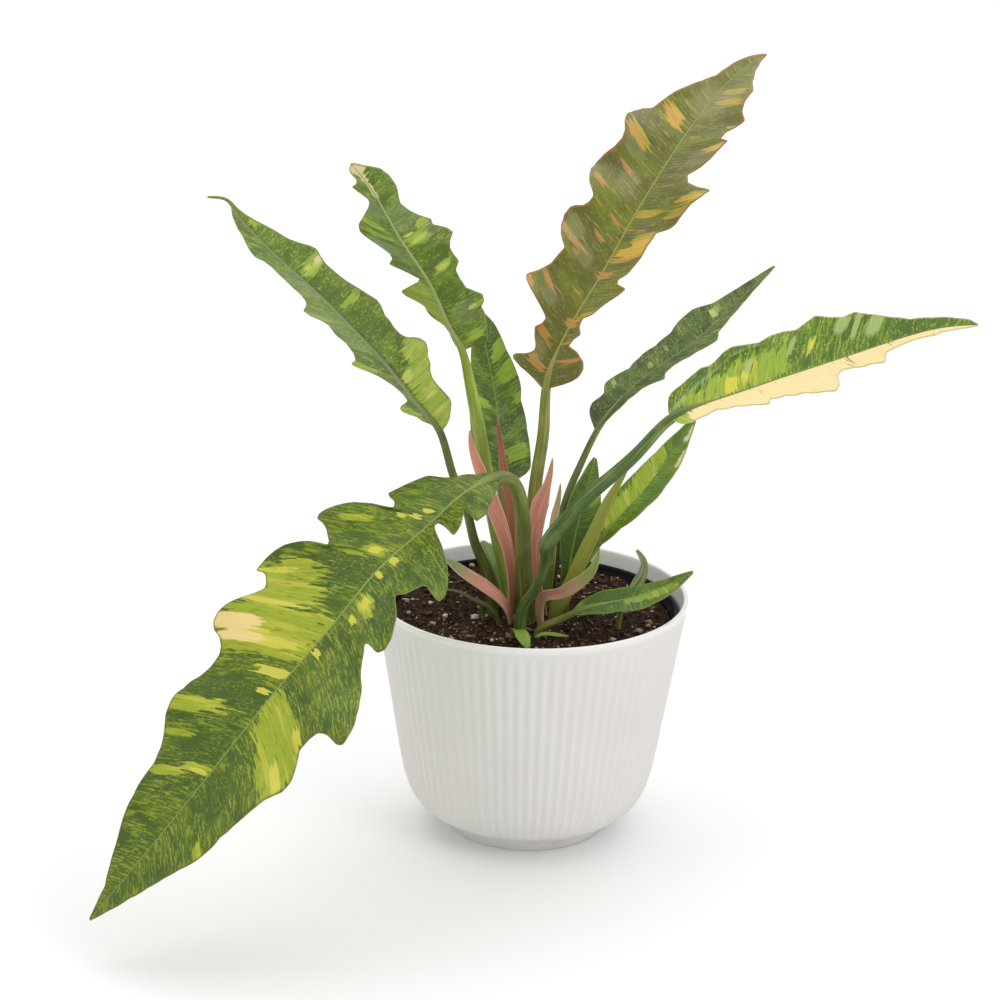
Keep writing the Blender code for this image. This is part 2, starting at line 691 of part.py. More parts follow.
sheath(
    "sheath_pink_low",
    [(-11, -13, 116), (-12, -13, 130), (-16, -18, 141), (-26, -26, 153), (-38, -34, 164),
     (-48, -41, 174)],
    [(0, 2.0, 1.8), (0.25, 4.0, 1.6), (0.6, 4.6, 1.4), (0.85, 2.8, 1.0), (1, 0.8, 0.5)],
    (0.2, -0.6, 0.8),
    (0.6, 0.3, 0.24),
)
sheath(
    "sheath_cream",
    [(9, 10, 116), (10, 9, 146), (11, 8, 164), (12, 7, 183), (14, 6, 195), (15, 5, 205)],
    [(0, 1.8, 1.6), (0.5, 2.8, 1.1), (0.8, 2.2, 0.9), (1, 0.7, 0.5)],
    (0, -1, 0.2),
    (0.62, 0.5, 0.32),
)
sheath(
    "sheath_pink_curl",
    [(7, -15, 116), (5, -17, 132), (5, -18, 142), (8, -21, 147), (14, -24, 149), (21, -28, 154),
     (28, -30, 160), (34, -31, 168), (37, -30, 179)],
    [(0, 2.0, 1.6), (0.35, 3.0, 1.3), (0.65, 3.8, 1.1), (0.85, 2.6, 0.9), (1, 0.7, 0.5)],
    (-0.1, -0.7, 0.7),
    (0.58, 0.3, 0.24),
)
sheath(
    "sheath_olive",
    [(14, -12, 116), (13, -12, 128), (15, -12, 137), (21, -10, 148), (27, -9, 163), (34, -8, 180),
     (41, -7, 197), (47, -6, 209), (53, -4, 219)],
    [(0, 2.6, 1.8), (0.2, 4.2, 1.5), (0.5, 4.0, 1.3), (0.8, 3.0, 1.0), (1, 0.8, 0.5)],
    (0.2, -0.8, 0.5),
    (0.34, 0.34, 0.06),
)
sheath(
    "shoot_front",
    [(-9, -30, 116), (-9, -31, 126), (-8, -35, 131), (-6, -43, 133), (-4, -51, 131), (-2, -58, 129)],
    [(0, 2.2, 1.8), (0.4, 3.6, 1.2), (0.75, 4.6, 0.9), (1, 2.0, 0.6)],
    (0.2, -0.3, 0.95),
    (0.26, 0.40, 0.08),
    8,
)
sheath(
    "shoot_on_soil",
    [(1, -37, 116), (2, -37, 126), (6, -37, 129.5), (13, -38, 130), (21, -39, 129.5)],
    [(0, 1.4, 1.2), (0.5, 1.8, 0.9), (0.8, 1.6, 0.7), (1, 0.6, 0.5)],
    (0, -0.3, 0.95),
    (0.2, 0.34, 0.1),
    8,
)
sheath(
    "shoot_left_thin",
    [(-19, -15, 116), (-19, -15, 130), (-24, -17, 138), (-33, -19, 143), (-41, -21, 148),
     (-48, -23, 150)],
    [(0, 1.5, 1.3), (0.5, 1.6, 1.1), (1, 0.7, 0.6)],
    (0.1, -0.6, 0.8),
    (0.18, 0.28, 0.08),
    8,
)
sheath(
    "shoot_left_short",
    [(-27, -7, 116), (-27, -7, 128), (-28, -9, 135), (-31, -13, 142)],
    [(0, 1.5, 1.3), (0.6, 1.7, 1.1), (1, 0.7, 0.6)],
    (0.1, -0.6, 0.8),
    (0.2, 0.3, 0.1),
    7,
)

# Plain holes for every stalk in the soil and the crown stem, and one in the soil for the stem itself.
stem_gap_rings = [
    (0.0, 95.6, 1, 0),
    (STEM_R + CLEAR, 95.6, 16, 0),
    (STEM_R + CLEAR, 134.0, 16, 0),
    (0.0, 134.0, 1, 0),
]
stem_gap = lathe("cut_stem", stem_gap_rings, STEM_GREEN)
place(stem_gap, *STEM_AT)
near = [c for c in CUTTERS if c["near_stem"]]
for target, cutters in ((soil, [stem_gap] + CUTTERS), (stem, near)):
    group = bpy.data.collections.new(target.name + "_cutters")
    for cutter in cutters:
        group.objects.link(cutter)
    cut = target.modifiers.new("holes", "BOOLEAN")
    cut.operation = "DIFFERENCE"
    cut.operand_type = "COLLECTION"
    cut.solver = "EXACT"
    cut.use_self = True
    cut.collection = group
for cutter in CUTTERS + [stem_gap]:
    cutter.hide_render = True
    cutter.display_type = "WIRE"
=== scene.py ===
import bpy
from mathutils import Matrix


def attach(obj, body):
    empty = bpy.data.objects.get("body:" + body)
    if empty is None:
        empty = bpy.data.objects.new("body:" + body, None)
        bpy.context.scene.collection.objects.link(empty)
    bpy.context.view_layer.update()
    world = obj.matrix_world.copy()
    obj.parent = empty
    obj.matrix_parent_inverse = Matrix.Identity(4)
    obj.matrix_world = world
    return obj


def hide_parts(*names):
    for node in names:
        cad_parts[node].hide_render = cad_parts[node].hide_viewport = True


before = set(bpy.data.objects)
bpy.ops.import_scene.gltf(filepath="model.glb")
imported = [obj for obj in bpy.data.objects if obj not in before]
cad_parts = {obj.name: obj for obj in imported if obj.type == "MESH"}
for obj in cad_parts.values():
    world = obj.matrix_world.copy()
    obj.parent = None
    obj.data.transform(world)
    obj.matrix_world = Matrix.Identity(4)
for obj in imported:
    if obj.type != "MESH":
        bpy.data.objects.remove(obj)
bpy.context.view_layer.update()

import math

import bmesh
import bpy
import numpy as np
from mathutils import Matrix, Vector, noise

# Camera of the photograph: about 1.7 m away, 18.6 degrees above the horizon, turned 1.2 degrees.
# All lengths below are millimetres unless a line says metres.
MM = 0.001
camera_data = bpy.data.cameras.new("photo_camera")
camera_data.sensor_width = 36.0
camera_data.lens = 108.1
camera = bpy.data.objects.new("photo_camera", camera_data)
bpy.context.scene.collection.objects.link(camera)
tilt = math.radians(18.64)
roll = math.radians(1.24)
away = Vector((0.0, -math.cos(tilt), math.sin(tilt)))
level_up = Vector((0.0, math.sin(tilt), math.cos(tilt)))
level_right = Vector((1.0, 0.0, 0.0))
cam_right = level_right * math.cos(roll) + level_up * math.sin(roll)
cam_up = level_up * math.cos(roll) - level_right * math.sin(roll)
turn = Matrix((cam_right, cam_up, away)).transposed().to_4x4()
camera.matrix_world = Matrix.Translation(Vector((-0.0191, 0.0, 0.1962)) + away * 1.7) @ turn
bpy.context.scene.camera = camera
bpy.context.scene.view_settings.view_transform = "Standard"


# Studio floor: a wide sheet of pale paper under the pot, plain and matt, with soft lights round it.
# The lights are wide boxes: one high at the right front, a weaker warm one at the left, one behind.
def paint(r, g, b):
    """A paint chip in 0-255 display values as the linear colour that a shader wants."""
    chip = []
    for c in (r, g, b):
        c = c / 255.0
        chip.append(c / 12.92 if c <= 0.04045 else ((c + 0.055) / 1.055) ** 2.4)
    return (*chip, 1.0)


def feed(tree, made, inputs):
    """Set a node's inputs: a value as it is, another node's output as a link."""
    for key, value in inputs.items():
        if isinstance(value, bpy.types.NodeSocket):
            tree.links.new(value, made.inputs[key])
        else:
            made.inputs[key].default_value = value


def node(tree, kind, inputs=None, **settings):
    made = tree.nodes.new("ShaderNode" + kind)
    for key, value in settings.items():
        setattr(made, key, value)
    feed(tree, made, inputs or {})
    return made


def calc(tree, operation, a, b=0.0, c=0.0, clamp=False):
    return node(tree, "Math", {0: a, 1: b, 2: c}, operation=operation, use_clamp=clamp).outputs[0]


def times(tree, *shares):
    """All of several shares at once."""
    product = shares[0]
    for other in shares[1:]:
        product = calc(tree, "MULTIPLY", product, other)
    return product


def blend(tree, share, a, b):
    return node(tree, "Mix", {0: share, 6: a, 7: b}, data_type="RGBA").outputs[2]


def ramp(tree, value, low, high):
    """0 below low, 1 above high, smooth between."""
    return node(tree, "MapRange", {0: value, 1: low, 2: high}, interpolation_type="SMOOTHSTEP").outputs[0]


def here(tree):
    return node(tree, "TexCoord").outputs["Object"]


def painted(tree, name):
    return node(tree, "Attribute", attribute_name=name).outputs


def speckle(tree, place, scale, detail, roughness=0.5):
    """Cloudy noise from 0 to 1; scale in cycles for each unit of place."""
    looks = {"Vector": place, "Scale": scale, "Detail": detail, "Roughness": roughness}
    return node(tree, "TexNoise", looks).outputs["Fac"]


def bumps(tree, height, strength, depth):
    """Fine relief from a 0-1 height; depth in metres."""
    return node(tree, "Bump", {"Height": height, "Strength": strength, "Distance": depth}).outputs[0]


def new_material(name):
    mat = bpy.data.materials.new(name)
    mat.use_nodes = True
    return mat, mat.node_tree, mat.node_tree.nodes["Principled BSDF"]


def wear(tree, shader, colour, rough, normal, sheen=0.5):
    looks = {"Base Color": colour, "Roughness": rough, "Normal": normal, "Specular IOR Level": sheen}
    feed(tree, shader, looks)


def mesh_object(name, bm, materials):
    mesh = bpy.data.meshes.new(name)
    bm.to_mesh(mesh)
    bm.free()
    for mat in materials:
        mesh.materials.append(mat)
    mesh.shade_smooth()
    made = bpy.data.objects.new(name, mesh)
    bpy.context.scene.collection.objects.link(made)
    return made


bm = bmesh.new()
bmesh.ops.create_grid(bm, x_segments=8, y_segments=8, size=7.0)
paper, tree, shader = new_material("studio_paper")
tint = blend(tree, speckle(tree, here(tree), 3.0, 3.0), paint(247, 247, 247), paint(251, 251, 251))
feed(tree, shader, {"Base Color": tint, "Roughness": 0.9, "Specular IOR Level": 0.15})
floor = mesh_object("studio_floor", bm, [paper])

world = bpy.data.worlds.new("studio")
world.use_nodes = True
sky = world.node_tree.nodes["Background"].inputs
sky["Color"].default_value = (1.0, 1.0, 1.0, 1.0)
sky["Strength"].default_value = 0.68
bpy.context.scene.world = world


def light_box(name, at, aim, size, watts, colour):
    lamp = bpy.data.lights.new(name, "AREA")
    lamp.shape = "SQUARE"
    lamp.size = size
    lamp.energy = watts
    lamp.color = colour
    made = bpy.data.objects.new(name, lamp)
    bpy.context.scene.collection.objects.link(made)
    facing = (Vector(at) - Vector(aim)).to_track_quat("Z", "Y")
    made.matrix_world = Matrix.Translation(at) @ facing.to_matrix().to_4x4()


light_box("light_right_front", (1.5, -1.5, 1.9), (0.0, 0.0, 0.2), 1.3, 12.0, (1.0, 0.99, 0.98))
light_box("light_left", (-1.9, -0.6, 1.1), (0.0, 0.0, 0.2), 1.1, 2.0, (1.0, 0.95, 0.88))
light_box("light_overhead", (0.0, 1.6, 3.2), (0.0, 1.6, 0.0), 5.0, 84.0, (1.0, 1.0, 1.0))

# Cover pot: slip-cast white stoneware with a flat foot, a rounded shoulder and fine upright flutes.
# It was turned on one profile, fluted from shoulder to just under the rim, and left matt.
FLUTES = 84
FLUTE_DEPTH = 1.1
POT_PROFILE = [
    (0.0, 0.0), (45.2, 0.0), (45.8, 0.2), (46.1, 0.8), (46.6, 2.5), (48.0, 6.0), (49.6, 8.6), (52.0, 10.0),
    (56.0, 11.4), (59.0, 12.7), (61.5, 14.2), (64.0, 16.6), (66.2, 19.4), (68.4, 23.4), (70.3, 28.0),
    (72.4, 35.5), (74.3, 45.0), (76.8, 60.0), (80.0, 80.0), (83.3, 100.0), (86.2, 118.0), (87.4, 125.0),
    (88.4, 131.0), (89.5, 138.0), (89.9, 139.7), (89.7, 140.6), (89.0, 141.0), (88.0, 141.0), (87.3, 140.7),
    (87.0, 140.0), (86.0, 133.5), (84.6, 125.0), (80.5, 100.0), (71.7, 46.0), (66.0, 26.5), (58.5, 15.5),
    (45.5, 15.5), (44.0, 4.5), (0.0, 4.5),
]


def ease(share):
    """0 to 1 with a soft start and a soft end."""
    return share * share * (3.0 - 2.0 * share)


def points_of(made):
    """The points of a mesh as rows of x, y, z in metres."""
    co = np.empty(len(made.data.vertices) * 3)
    made.data.vertices.foreach_get("co", co)
    return co.reshape(-1, 3)


def move_points(made, co):
    """Move the points of a mesh to rows of x, y, z in millimetres."""
    made.data.vertices.foreach_set("co", (co * MM).ravel())


def turned(name, profile, steps, materials, fine=2.5):
    """A body spun from a profile of (radius, height) points; long stretches get rings of their own."""
    dense = []
    for (r0, z0), (r1, z1) in zip(profile, profile[1:]):
        cuts = max(1, int(math.hypot(r1 - r0, z1 - z0) / fine))
        dense += [(r0 + (r1 - r0) * i / cuts, z0 + (z1 - z0) * i / cuts) for i in range(cuts)]
    dense.append(profile[-1])
    bm = bmesh.new()
    points = [bm.verts.new((r * MM, 0.0, z * MM)) for r, z in dense]
    edges = [bm.edges.new(pair) for pair in zip(points, points[1:])]
    bmesh.ops.spin(
        bm, geom=points + edges, cent=(0, 0, 0), axis=(0, 0, 1), angle=2 * math.pi, steps=steps,
        use_merge=True,
    )
    bmesh.ops.remove_doubles(bm, verts=bm.verts, dist=1e-6)
    bmesh.ops.recalc_face_normals(bm, faces=bm.faces)
    return mesh_object(name, bm, materials)


# Heights in metres: the foot is dusty up to 30 mm, the rim is smoother from 136 mm up, and the inner
# wall, which starts at 112 mm, is told from the outer one by the middle of the wall.
# The inner wall is painted lighter: painted light that offsets the shade falling inside the pot.
DUSTY = (0.030, 0.004)
RIM = (0.1360, 0.1395)
PAINTED_LIGHT_INSIDE_FROM = (0.112, 0.116)
WALL_Z = 0.125
WALL_MIDDLE = 0.0860
WALL_SLOPE = 0.17
stoneware, tree, shader = new_material("matt_white_stoneware")
place = here(tree)
height = node(tree, "SeparateXYZ", {0: place}).outputs["Z"]
cloud = speckle(tree, place, 16.0, 4.0, 0.55)
pores = speckle(tree, place, 900.0, 3.0, 0.6)
dust = speckle(tree, place, 60.0, 5.0, 0.7)
glaze = blend(tree, cloud, paint(222, 219, 216), paint(233, 230, 227))
specks = times(tree, ramp(tree, height, *DUSTY), ramp(tree, dust, 0.52, 0.75))
glaze = blend(tree, times(tree, specks, 0.28), glaze, paint(190, 184, 172))
rim_share = ramp(tree, height, *RIM)
glaze = blend(tree, rim_share, glaze, paint(240, 238, 235))
level = node(tree, "VectorMath", {0: place, 1: (1.0, 1.0, 0.0)}, operation="MULTIPLY").outputs[0]
radial = node(tree, "VectorMath", {0: level}, operation="LENGTH").outputs["Value"]
middle = calc(tree, "MULTIPLY_ADD", calc(tree, "SUBTRACT", height, WALL_Z), WALL_SLOPE, WALL_MIDDLE)
# Painted light: the inside wall is brightened toward near-white to offset the shade that falls in the pot.
painted_light_inside = ramp(tree, calc(tree, "SUBTRACT", middle, radial), -0.0004, 0.0004)
painted_light_inside = times(tree, painted_light_inside, ramp(tree, height, *PAINTED_LIGHT_INSIDE_FROM))
glaze = blend(tree, painted_light_inside, glaze, paint(250, 250, 248))
rough = calc(tree, "SUBTRACT", 0.62, times(tree, rim_share, 0.34))
rough = calc(tree, "ADD", rough, times(tree, cloud, 0.08))
wear(tree, shader, glaze, rough, bumps(tree, pores, 0.12, 0.0004), 0.4)

FLUTE_ENDS = [12.0, 19.0, 128.0, 136.0]
INSIDE_Z = [0, 16, 28, 45, 141]
INSIDE_R = [40, 60, 66, 72.6, 88.4]
pot = turned("fluted_cover_pot", POT_PROFILE, FLUTES * 6, [stoneware])
co = points_of(pot) / MM
radius = np.hypot(co[:, 0], co[:, 1])
outside = radius > np.interp(co[:, 2], INSIDE_Z, INSIDE_R)
fade = ease(np.interp(co[:, 2], FLUTE_ENDS, [0.0, 1.0, 1.0, 0.0])) * outside
valley = (0.5 - 0.5 * np.cos(FLUTES * np.arctan2(co[:, 1], co[:, 0]))) ** 0.8
share = 1.0 - FLUTE_DEPTH * fade * valley / np.maximum(radius, 1.0)
co[:, :2] *= share[:, None]
move_points(pot, co)
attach(pot, "root")
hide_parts("cover_pot")

# Grower's pot: thin black polypropylene cup, vacuum formed, dropped into the cover pot.
# Only the band above the mix shows; it has a rolled lip and a step under it.
CUP_PROFILE = [
    (0.0, 15.8), (54.5, 15.8), (56.6, 16.4), (57.5, 18.2), (70.0, 70.0), (82.4, 124.0), (82.8, 125.2),
    (83.8, 126.0), (84.0, 129.0), (84.2, 132.2), (84.0, 132.8), (83.6, 133.0), (82.8, 133.0), (82.3, 132.6),
    (82.1, 131.8), (81.9, 127.4), (81.3, 126.8), (81.0, 125.0), (68.0, 68.0), (55.8, 17.8), (0.0, 17.8),
]
plastic, tree, shader = new_material("black_pot_plastic")
place = here(tree)
height = node(tree, "SeparateXYZ", {0: place}).outputs["Z"]
scuff = speckle(tree, place, 140.0, 5.0, 0.7)
smear = speckle(tree, place, 30.0, 2.0)
dirt = times(tree, ramp(tree, height, 0.1305, 0.1265), ramp(tree, scuff, 0.45, 0.62))
black = blend(tree, smear, paint(11, 11, 12), paint(20, 20, 22))
black = blend(tree, times(tree, dirt, 0.5), black, paint(66, 48, 36))
rough = calc(tree, "ADD", 0.44, times(tree, scuff, 0.3))
wear(tree, shader, black, rough, bumps(tree, scuff, 0.25, 0.0003), 0.2)
cup = turned("growers_pot", CUP_PROFILE, 160, [plastic])
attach(cup, "root")
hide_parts("grower_pot")

# Potting mix: peat and composted bark, filled by hand and watered down to a crumbly, uneven surface.
# Bark chips, peat crumbs and white puffed perlite lie on it, pressed a little way in.
MIX_Z = 126.0
MIX_PROFILE = [
    (0.0, 18.2), (54.8, 18.2), (80.2, 122.0), (80.6, 124.5), (80.2, 125.6), (79.0, 126.0), (0.0, 126.0),
]
MIX_REACH = 77.0
MIX_EDGE = 80.4
MIX_EDGE_FADE = 3.0
LOOSE_FROM = 0.1235


def mix_height(x, y):
    """How far the loose surface stands above MIX_Z: a swell, crumbs of three sizes, higher at the back."""
    swell = 0.9 * math.sin(x * 0.11 + 1.3) * math.cos(y * 0.13 - 0.4) + 0.6 * math.sin(x * 0.23 - y * 0.19)
    crumb = 1.8 * noise.noise(Vector((x * 0.16, y * 0.16, 3.0)))
    crumb += 1.6 * noise.noise(Vector((x * 0.45, y * 0.45, 9.0)))
    crumb += 0.7 * noise.noise(Vector((x * 1.1, y * 1.1, 5.0)))
    heap = 3.2 * min(1.0, max(0.0, (y + 8.0) / 50.0)) * (1.15 - 0.35 * x / 80.0)
    return swell * 0.8 + crumb + heap


peat, tree, shader = new_material("peat_and_bark")
place = here(tree)
grain = speckle(tree, place, 420.0, 6.0, 0.75)
clod = speckle(tree, place, 95.0, 4.0, 0.6)
cells = node(tree, "TexVoronoi", {"Vector": place, "Scale": 520.0}, feature="F1").outputs
brown = blend(tree, ramp(tree, grain, 0.35, 0.68), paint(22, 15, 11), paint(74, 50, 37))
brown = blend(tree, ramp(tree, clod, 0.56, 0.70), brown, paint(92, 62, 44))
few = ramp(tree, node(tree, "SeparateColor", {0: cells["Color"]}).outputs[0], 0.93, 0.96)
pale = times(tree, few, ramp(tree, cells["Distance"], 0.42, 0.25))
brown = blend(tree, pale, brown, paint(206, 186, 150))
wear(tree, shader, brown, 0.92, bumps(tree, grain, 0.9, 0.0016), 0.2)
mix = turned("potting_mix", MIX_PROFILE, 260, [peat], fine=0.95)
for v in mix.data.vertices:
    x = v.co.x / MM
    y = v.co.y / MM
    if v.co.z > LOOSE_FROM:
        calm = min(1.0, max(0.0, (MIX_EDGE - math.hypot(x, y)) / MIX_EDGE_FADE))
        v.co.z += mix_height(x, y) * calm * MM
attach(mix, "root")
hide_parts("soil")

rng = np.random.default_rng(41)


def scatter(name, spots, mat, subdivisions, rough_share):
    """Lumps of mix: (x, y, length, width, height) each, pressed a little way into the surface."""
    bm = bmesh.new()
    shade = bm.verts.layers.float.new("shade")
    for x, y, long, wide, tall in spots:
        lump = bmesh.ops.create_icosphere(bm, subdivisions=subdivisions, radius=0.5)["verts"]
        yaw = Matrix.Rotation(rng.uniform(0, 2 * math.pi), 3, "Z")
        lean = Matrix.Rotation(rng.uniform(-0.5, 0.5), 3, "X")
        tone = float(rng.uniform())
        base = Vector((x, y, MIX_Z + mix_height(x, y) + tall * 0.2))
        for v in lump:
            v[shade] = tone
            jag = 1.0 + rough_share * float(rng.uniform(-1.0, 1.0))
            v.co = (yaw @ (lean @ Vector((v.co.x * long, v.co.y * wide, v.co.z * tall)) * jag) + base) * MM
    made = mesh_object(name, bm, [mat])
    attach(made, "root")


def on_the_mix(count):
    spots = []
    while len(spots) < count:
        x, y = rng.uniform(-MIX_REACH, MIX_REACH, 2)
        if math.hypot(x, y) < MIX_REACH:
            spots.append((float(x), float(y)))
    return spots


# Every ninth chip is a large one.
CHIPS = 2200
LARGE = 2.2
chips = []
for x, y in on_the_mix(CHIPS):
    size = float(rng.uniform(0.7, 1.7)) ** 1.3 * (LARGE if len(chips) % 9 == 0 else 1.0)
    chips.append((x, y, size * 1.5, size * float(rng.uniform(0.5, 0.9)), size * float(rng.uniform(0.4, 0.8))))
bark, tree, shader = new_material("bark_chips")
tone = painted(tree, "shade")["Fac"]
grain = speckle(tree, here(tree), 700.0, 4.0, 0.7)
wood = blend(tree, ramp(tree, tone, 0.0, 0.7), paint(24, 16, 12), paint(108, 74, 50))
wood = blend(tree, ramp(tree, tone, 0.70, 0.86), wood, paint(172, 136, 98))
wood = blend(tree, ramp(tree, tone, 0.93, 0.95), wood, paint(214, 196, 160))
wood = blend(tree, times(tree, grain, 0.6), wood, paint(40, 26, 19))
wear(tree, shader, wood, 0.85, bumps(tree, grain, 0.6, 0.0006), 0.25)
scatter("bark_chips", chips, bark, 1, 0.28)

# The larger grains lie where they can be seen, as (x, y, size); 60 small ones lie anywhere.
PERLITE_SEEN = [
    (-32, -6, 5.2), (-26, -2, 3.6), (-49, -6, 3.8), (-70, -2, 3.4), (19, 75, 4.2), (61, -20, 4.6),
    (46, -33, 4.4), (3, -50, 3.2), (-22, -40, 2.8), (-35, 70, 4.0), (16, 56, 3.6), (67, -12, 3.2),
    (22, 52, 3.0), (30, 66, 2.6), (-24, 62, 3.4), (54, 6, 2.8), (-58, 12, 3.0), (-40, -34, 2.4),
    (34, -44, 2.6), (70, 12, 2.6),
]
puffs = [(x, y, s, s * 0.8, s * 0.7) for x, y, s in PERLITE_SEEN]
for x, y in on_the_mix(60):
    size = float(rng.uniform(0.6, 1.6))
    puffs.append((x, y, size * 1.1, size * 0.85, size * 0.75))
perlite, tree, shader = new_material("perlite")
pit = speckle(tree, here(tree), 900.0, 4.0)
white = blend(tree, ramp(tree, pit, 0.35, 0.6), paint(160, 150, 132), paint(222, 216, 202))
white = blend(tree, ramp(tree, painted(tree, "shade")["Fac"], 0.5, 1.0), white, paint(150, 130, 98))
wear(tree, shader, white, 0.8, bumps(tree, pit, 0.7, 0.0005))
scatter("perlite_grains", puffs, perlite, 2, 0.2)

# Crown stem: the short thick stem that every leaf stalk springs from, mostly under the mix.
# It is ringed with the scars of older leaves and dulls from green to brown at the mix.
STEM_PROFILE = [
    (0.0, 96.0), (8.0, 96.0), (10.6, 99.5), (11.0, 104.0), (10.4, 108.0), (11.0, 112.0), (10.5, 117.0),
    (11.0, 121.0), (10.7, 125.5), (9.8, 128.2), (8.0, 129.6), (4.0, 130.8), (0.0, 131.0),
]
bark_green, tree, shader = new_material("crown_stem_skin")
mottle = speckle(tree, here(tree), 180.0, 4.0)
skin = blend(tree, mottle, paint(96, 92, 48), paint(120, 130, 62))
wear(tree, shader, skin, 0.6, bumps(tree, mottle, 0.4, 0.0006))
crown = turned("crown_of_the_plant", STEM_PROFILE, 48, [bark_green])
crown.data.transform(Matrix.Translation((-0.004, 0.001, 0.0)))
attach(crown, "root")
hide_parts("crown_stem")


# Front left leaf: the biggest one, arching over the rim and hanging down past the pot.
# A living leaf: a firm stalk runs on as the midrib, and the blade is marbled in streaks along its veins.
def natural_spline(points, count):
    """Smooth curve through the route points, spaced by chord length."""
    p = np.array(points, dtype=float)
    gap = np.linalg.norm(np.diff(p, axis=0), axis=1) ** 0.75
    t = np.concatenate([[0.0], np.cumsum(gap)])
    m = len(p)
    h = np.diff(t)
    left = np.eye(m)
    right = np.zeros((m, 3))
    for i in range(1, m - 1):
        left[i, i - 1] = h[i - 1]
        left[i, i] = 2.0 * (h[i - 1] + h[i])
        left[i, i + 1] = h[i]
        right[i] = 6.0 * ((p[i + 1] - p[i]) / h[i] - (p[i] - p[i - 1]) / h[i - 1])
    bend = np.linalg.solve(left, right)
    u = np.linspace(0.0, t[-1], count)
    k = np.clip(np.searchsorted(t, u, side="right") - 1, 0, m - 2)
    a = (t[k + 1] - u)[:, None]
    b = (u - t[k])[:, None]
    hk = h[k][:, None]
    out = bend[k] * a ** 3 / (6.0 * hk) + bend[k + 1] * b ** 3 / (6.0 * hk)
    return out + (p[k] / hk - bend[k] * hk / 6.0) * a + (p[k + 1] / hk - bend[k + 1] * hk / 6.0) * b


class Midrib:
    """Route of one leaf: stalk for negative lengths, blade from 0 to its tip."""

    def __init__(self, route, blade_from, face, fold):
        q = natural_spline(route, 600)
        s = np.concatenate([[0.0], np.cumsum(np.linalg.norm(np.diff(q, axis=0), axis=1))])
        j = int(np.linalg.norm(q - np.array(route[blade_from], dtype=float), axis=1).argmin())
        self.q = q
        self.s = s - s[j]
        self.length = float(self.s[-1])
        self.stalk = float(s[j])
        t = np.gradient(q, axis=0)
        t /= np.linalg.norm(t, axis=1, keepdims=True)
        share = np.clip(self.s / max(self.length, 1.0), 0.0, 1.0)[:, None]
        look = np.array(face[0], dtype=float) * (1.0 - share) + np.array(face[-1], dtype=float) * share
        n = look - (look * t).sum(1)[:, None] * t
        n /= np.linalg.norm(n, axis=1, keepdims=True)
        for i in range(j - 1, -1, -1):
            turned_n = n[i + 1] - (n[i + 1] @ t[i]) * t[i]
            n[i] = turned_n / np.linalg.norm(turned_n)
        self.t = t
        self.n = n
        self.b = np.cross(t, n)
        self.fold = fold

    def frame(self, s):
        return [np.stack([np.interp(s, self.s, rows[:, i]) for i in range(3)], -1)
                for rows in (self.q, self.t, self.n, self.b)]

    def point(self, along, out, ripple):
        s = np.clip(along, 0.0, self.length)
        c, t, n, b = self.frame(s)
        angle = np.radians(self.fold[0] + (self.fold[1] - self.fold[0]) * s / self.length)
        reach = np.abs(out)
        size, pitch, shift = ripple
        side = np.where(out > 0, 1.7, 0.0)
        wave = size * (reach / 30.0) ** 2 * np.sin(2.0 * math.pi * (along / pitch + shift) + side)
        lift = reach * np.sin(angle) + wave
        return c + (along - s)[:, None] * t + (out * np.cos(angle))[:, None] * b + lift[:, None] * n


VEIN_SLOPE = 0.45
BLADE = 0.7


def eased_row(row):
    """Take the sharpest corners off a row of edge values."""
    row[1:-1] = 0.25 * row[:-2] + 0.5 * row[1:-1] + 0.25 * row[2:]


def edge_rows(corners, rows, length):
    """One side of the outline, row by row: each stretch between corners swells a little outwards."""
    k_all = np.arange(rows)
    last = 0
    slots = []
    for i, (a, w) in enumerate(corners):
        wanted = int(round((rows - 1) * max(a - VEIN_SLOPE * w, 0.0) / length))
        left_over = 2 * (len(corners) - 1 - i)
        last = min(max(wanted, last + 2 if slots else 0), rows - 1 - left_over)
        slots.append(last)
    slots[0] = 0
    slots[-1] = rows - 1
    a = np.interp(k_all, slots, [c[0] for c in corners])
    w = np.interp(k_all, slots, [c[1] for c in corners])
    for i in range(len(corners) - 1):
        inside = (k_all >= slots[i]) & (k_all <= slots[i + 1])
        t = (k_all[inside] - slots[i]) / (slots[i + 1] - slots[i])
        da = corners[i + 1][0] - corners[i][0]
        dw = corners[i + 1][1] - corners[i][1]
        if math.hypot(da, dw) < 9.0:
            continue
        steep = abs(dw) > 1.2 * abs(da) and dw < 0
        swell = (-0.07 if steep else 0.08 if dw > 0 else 0.03) * 4.0 * t * (1.0 - t)
        a[inside] -= dw * swell * 0.7
        w[inside] += da * swell
    eased_row(a)
    eased_row(w)
    return a, w


def store(mesh, name, kind, values):
    layer = mesh.attributes.new(name, kind, "POINT")
    key = {"FLOAT": "value", "FLOAT_VECTOR": "vector", "FLOAT_COLOR": "color"}[kind]
    layer.data.foreach_set(key, np.ascontiguousarray(values, dtype=np.float32).ravel())


def patch_field(m, along, out, patches):
    """How deep each point lies in the listed patches: (along, out, half across veins, half along)."""
    field = np.zeros(len(along))
    for a, o, across, length in patches:
        row = m[np.argmin((along - a) ** 2 + (out - o) ** 2)]
        same_side = np.where(o * out >= 0.0, 1.0, 0.0) if abs(o) > 2 else 1.0
        share = ((m - row) / across) ** 4 + ((out - o) / length) ** 2
        field = np.maximum(field, same_side * np.exp(-0.7 * share))
    return field


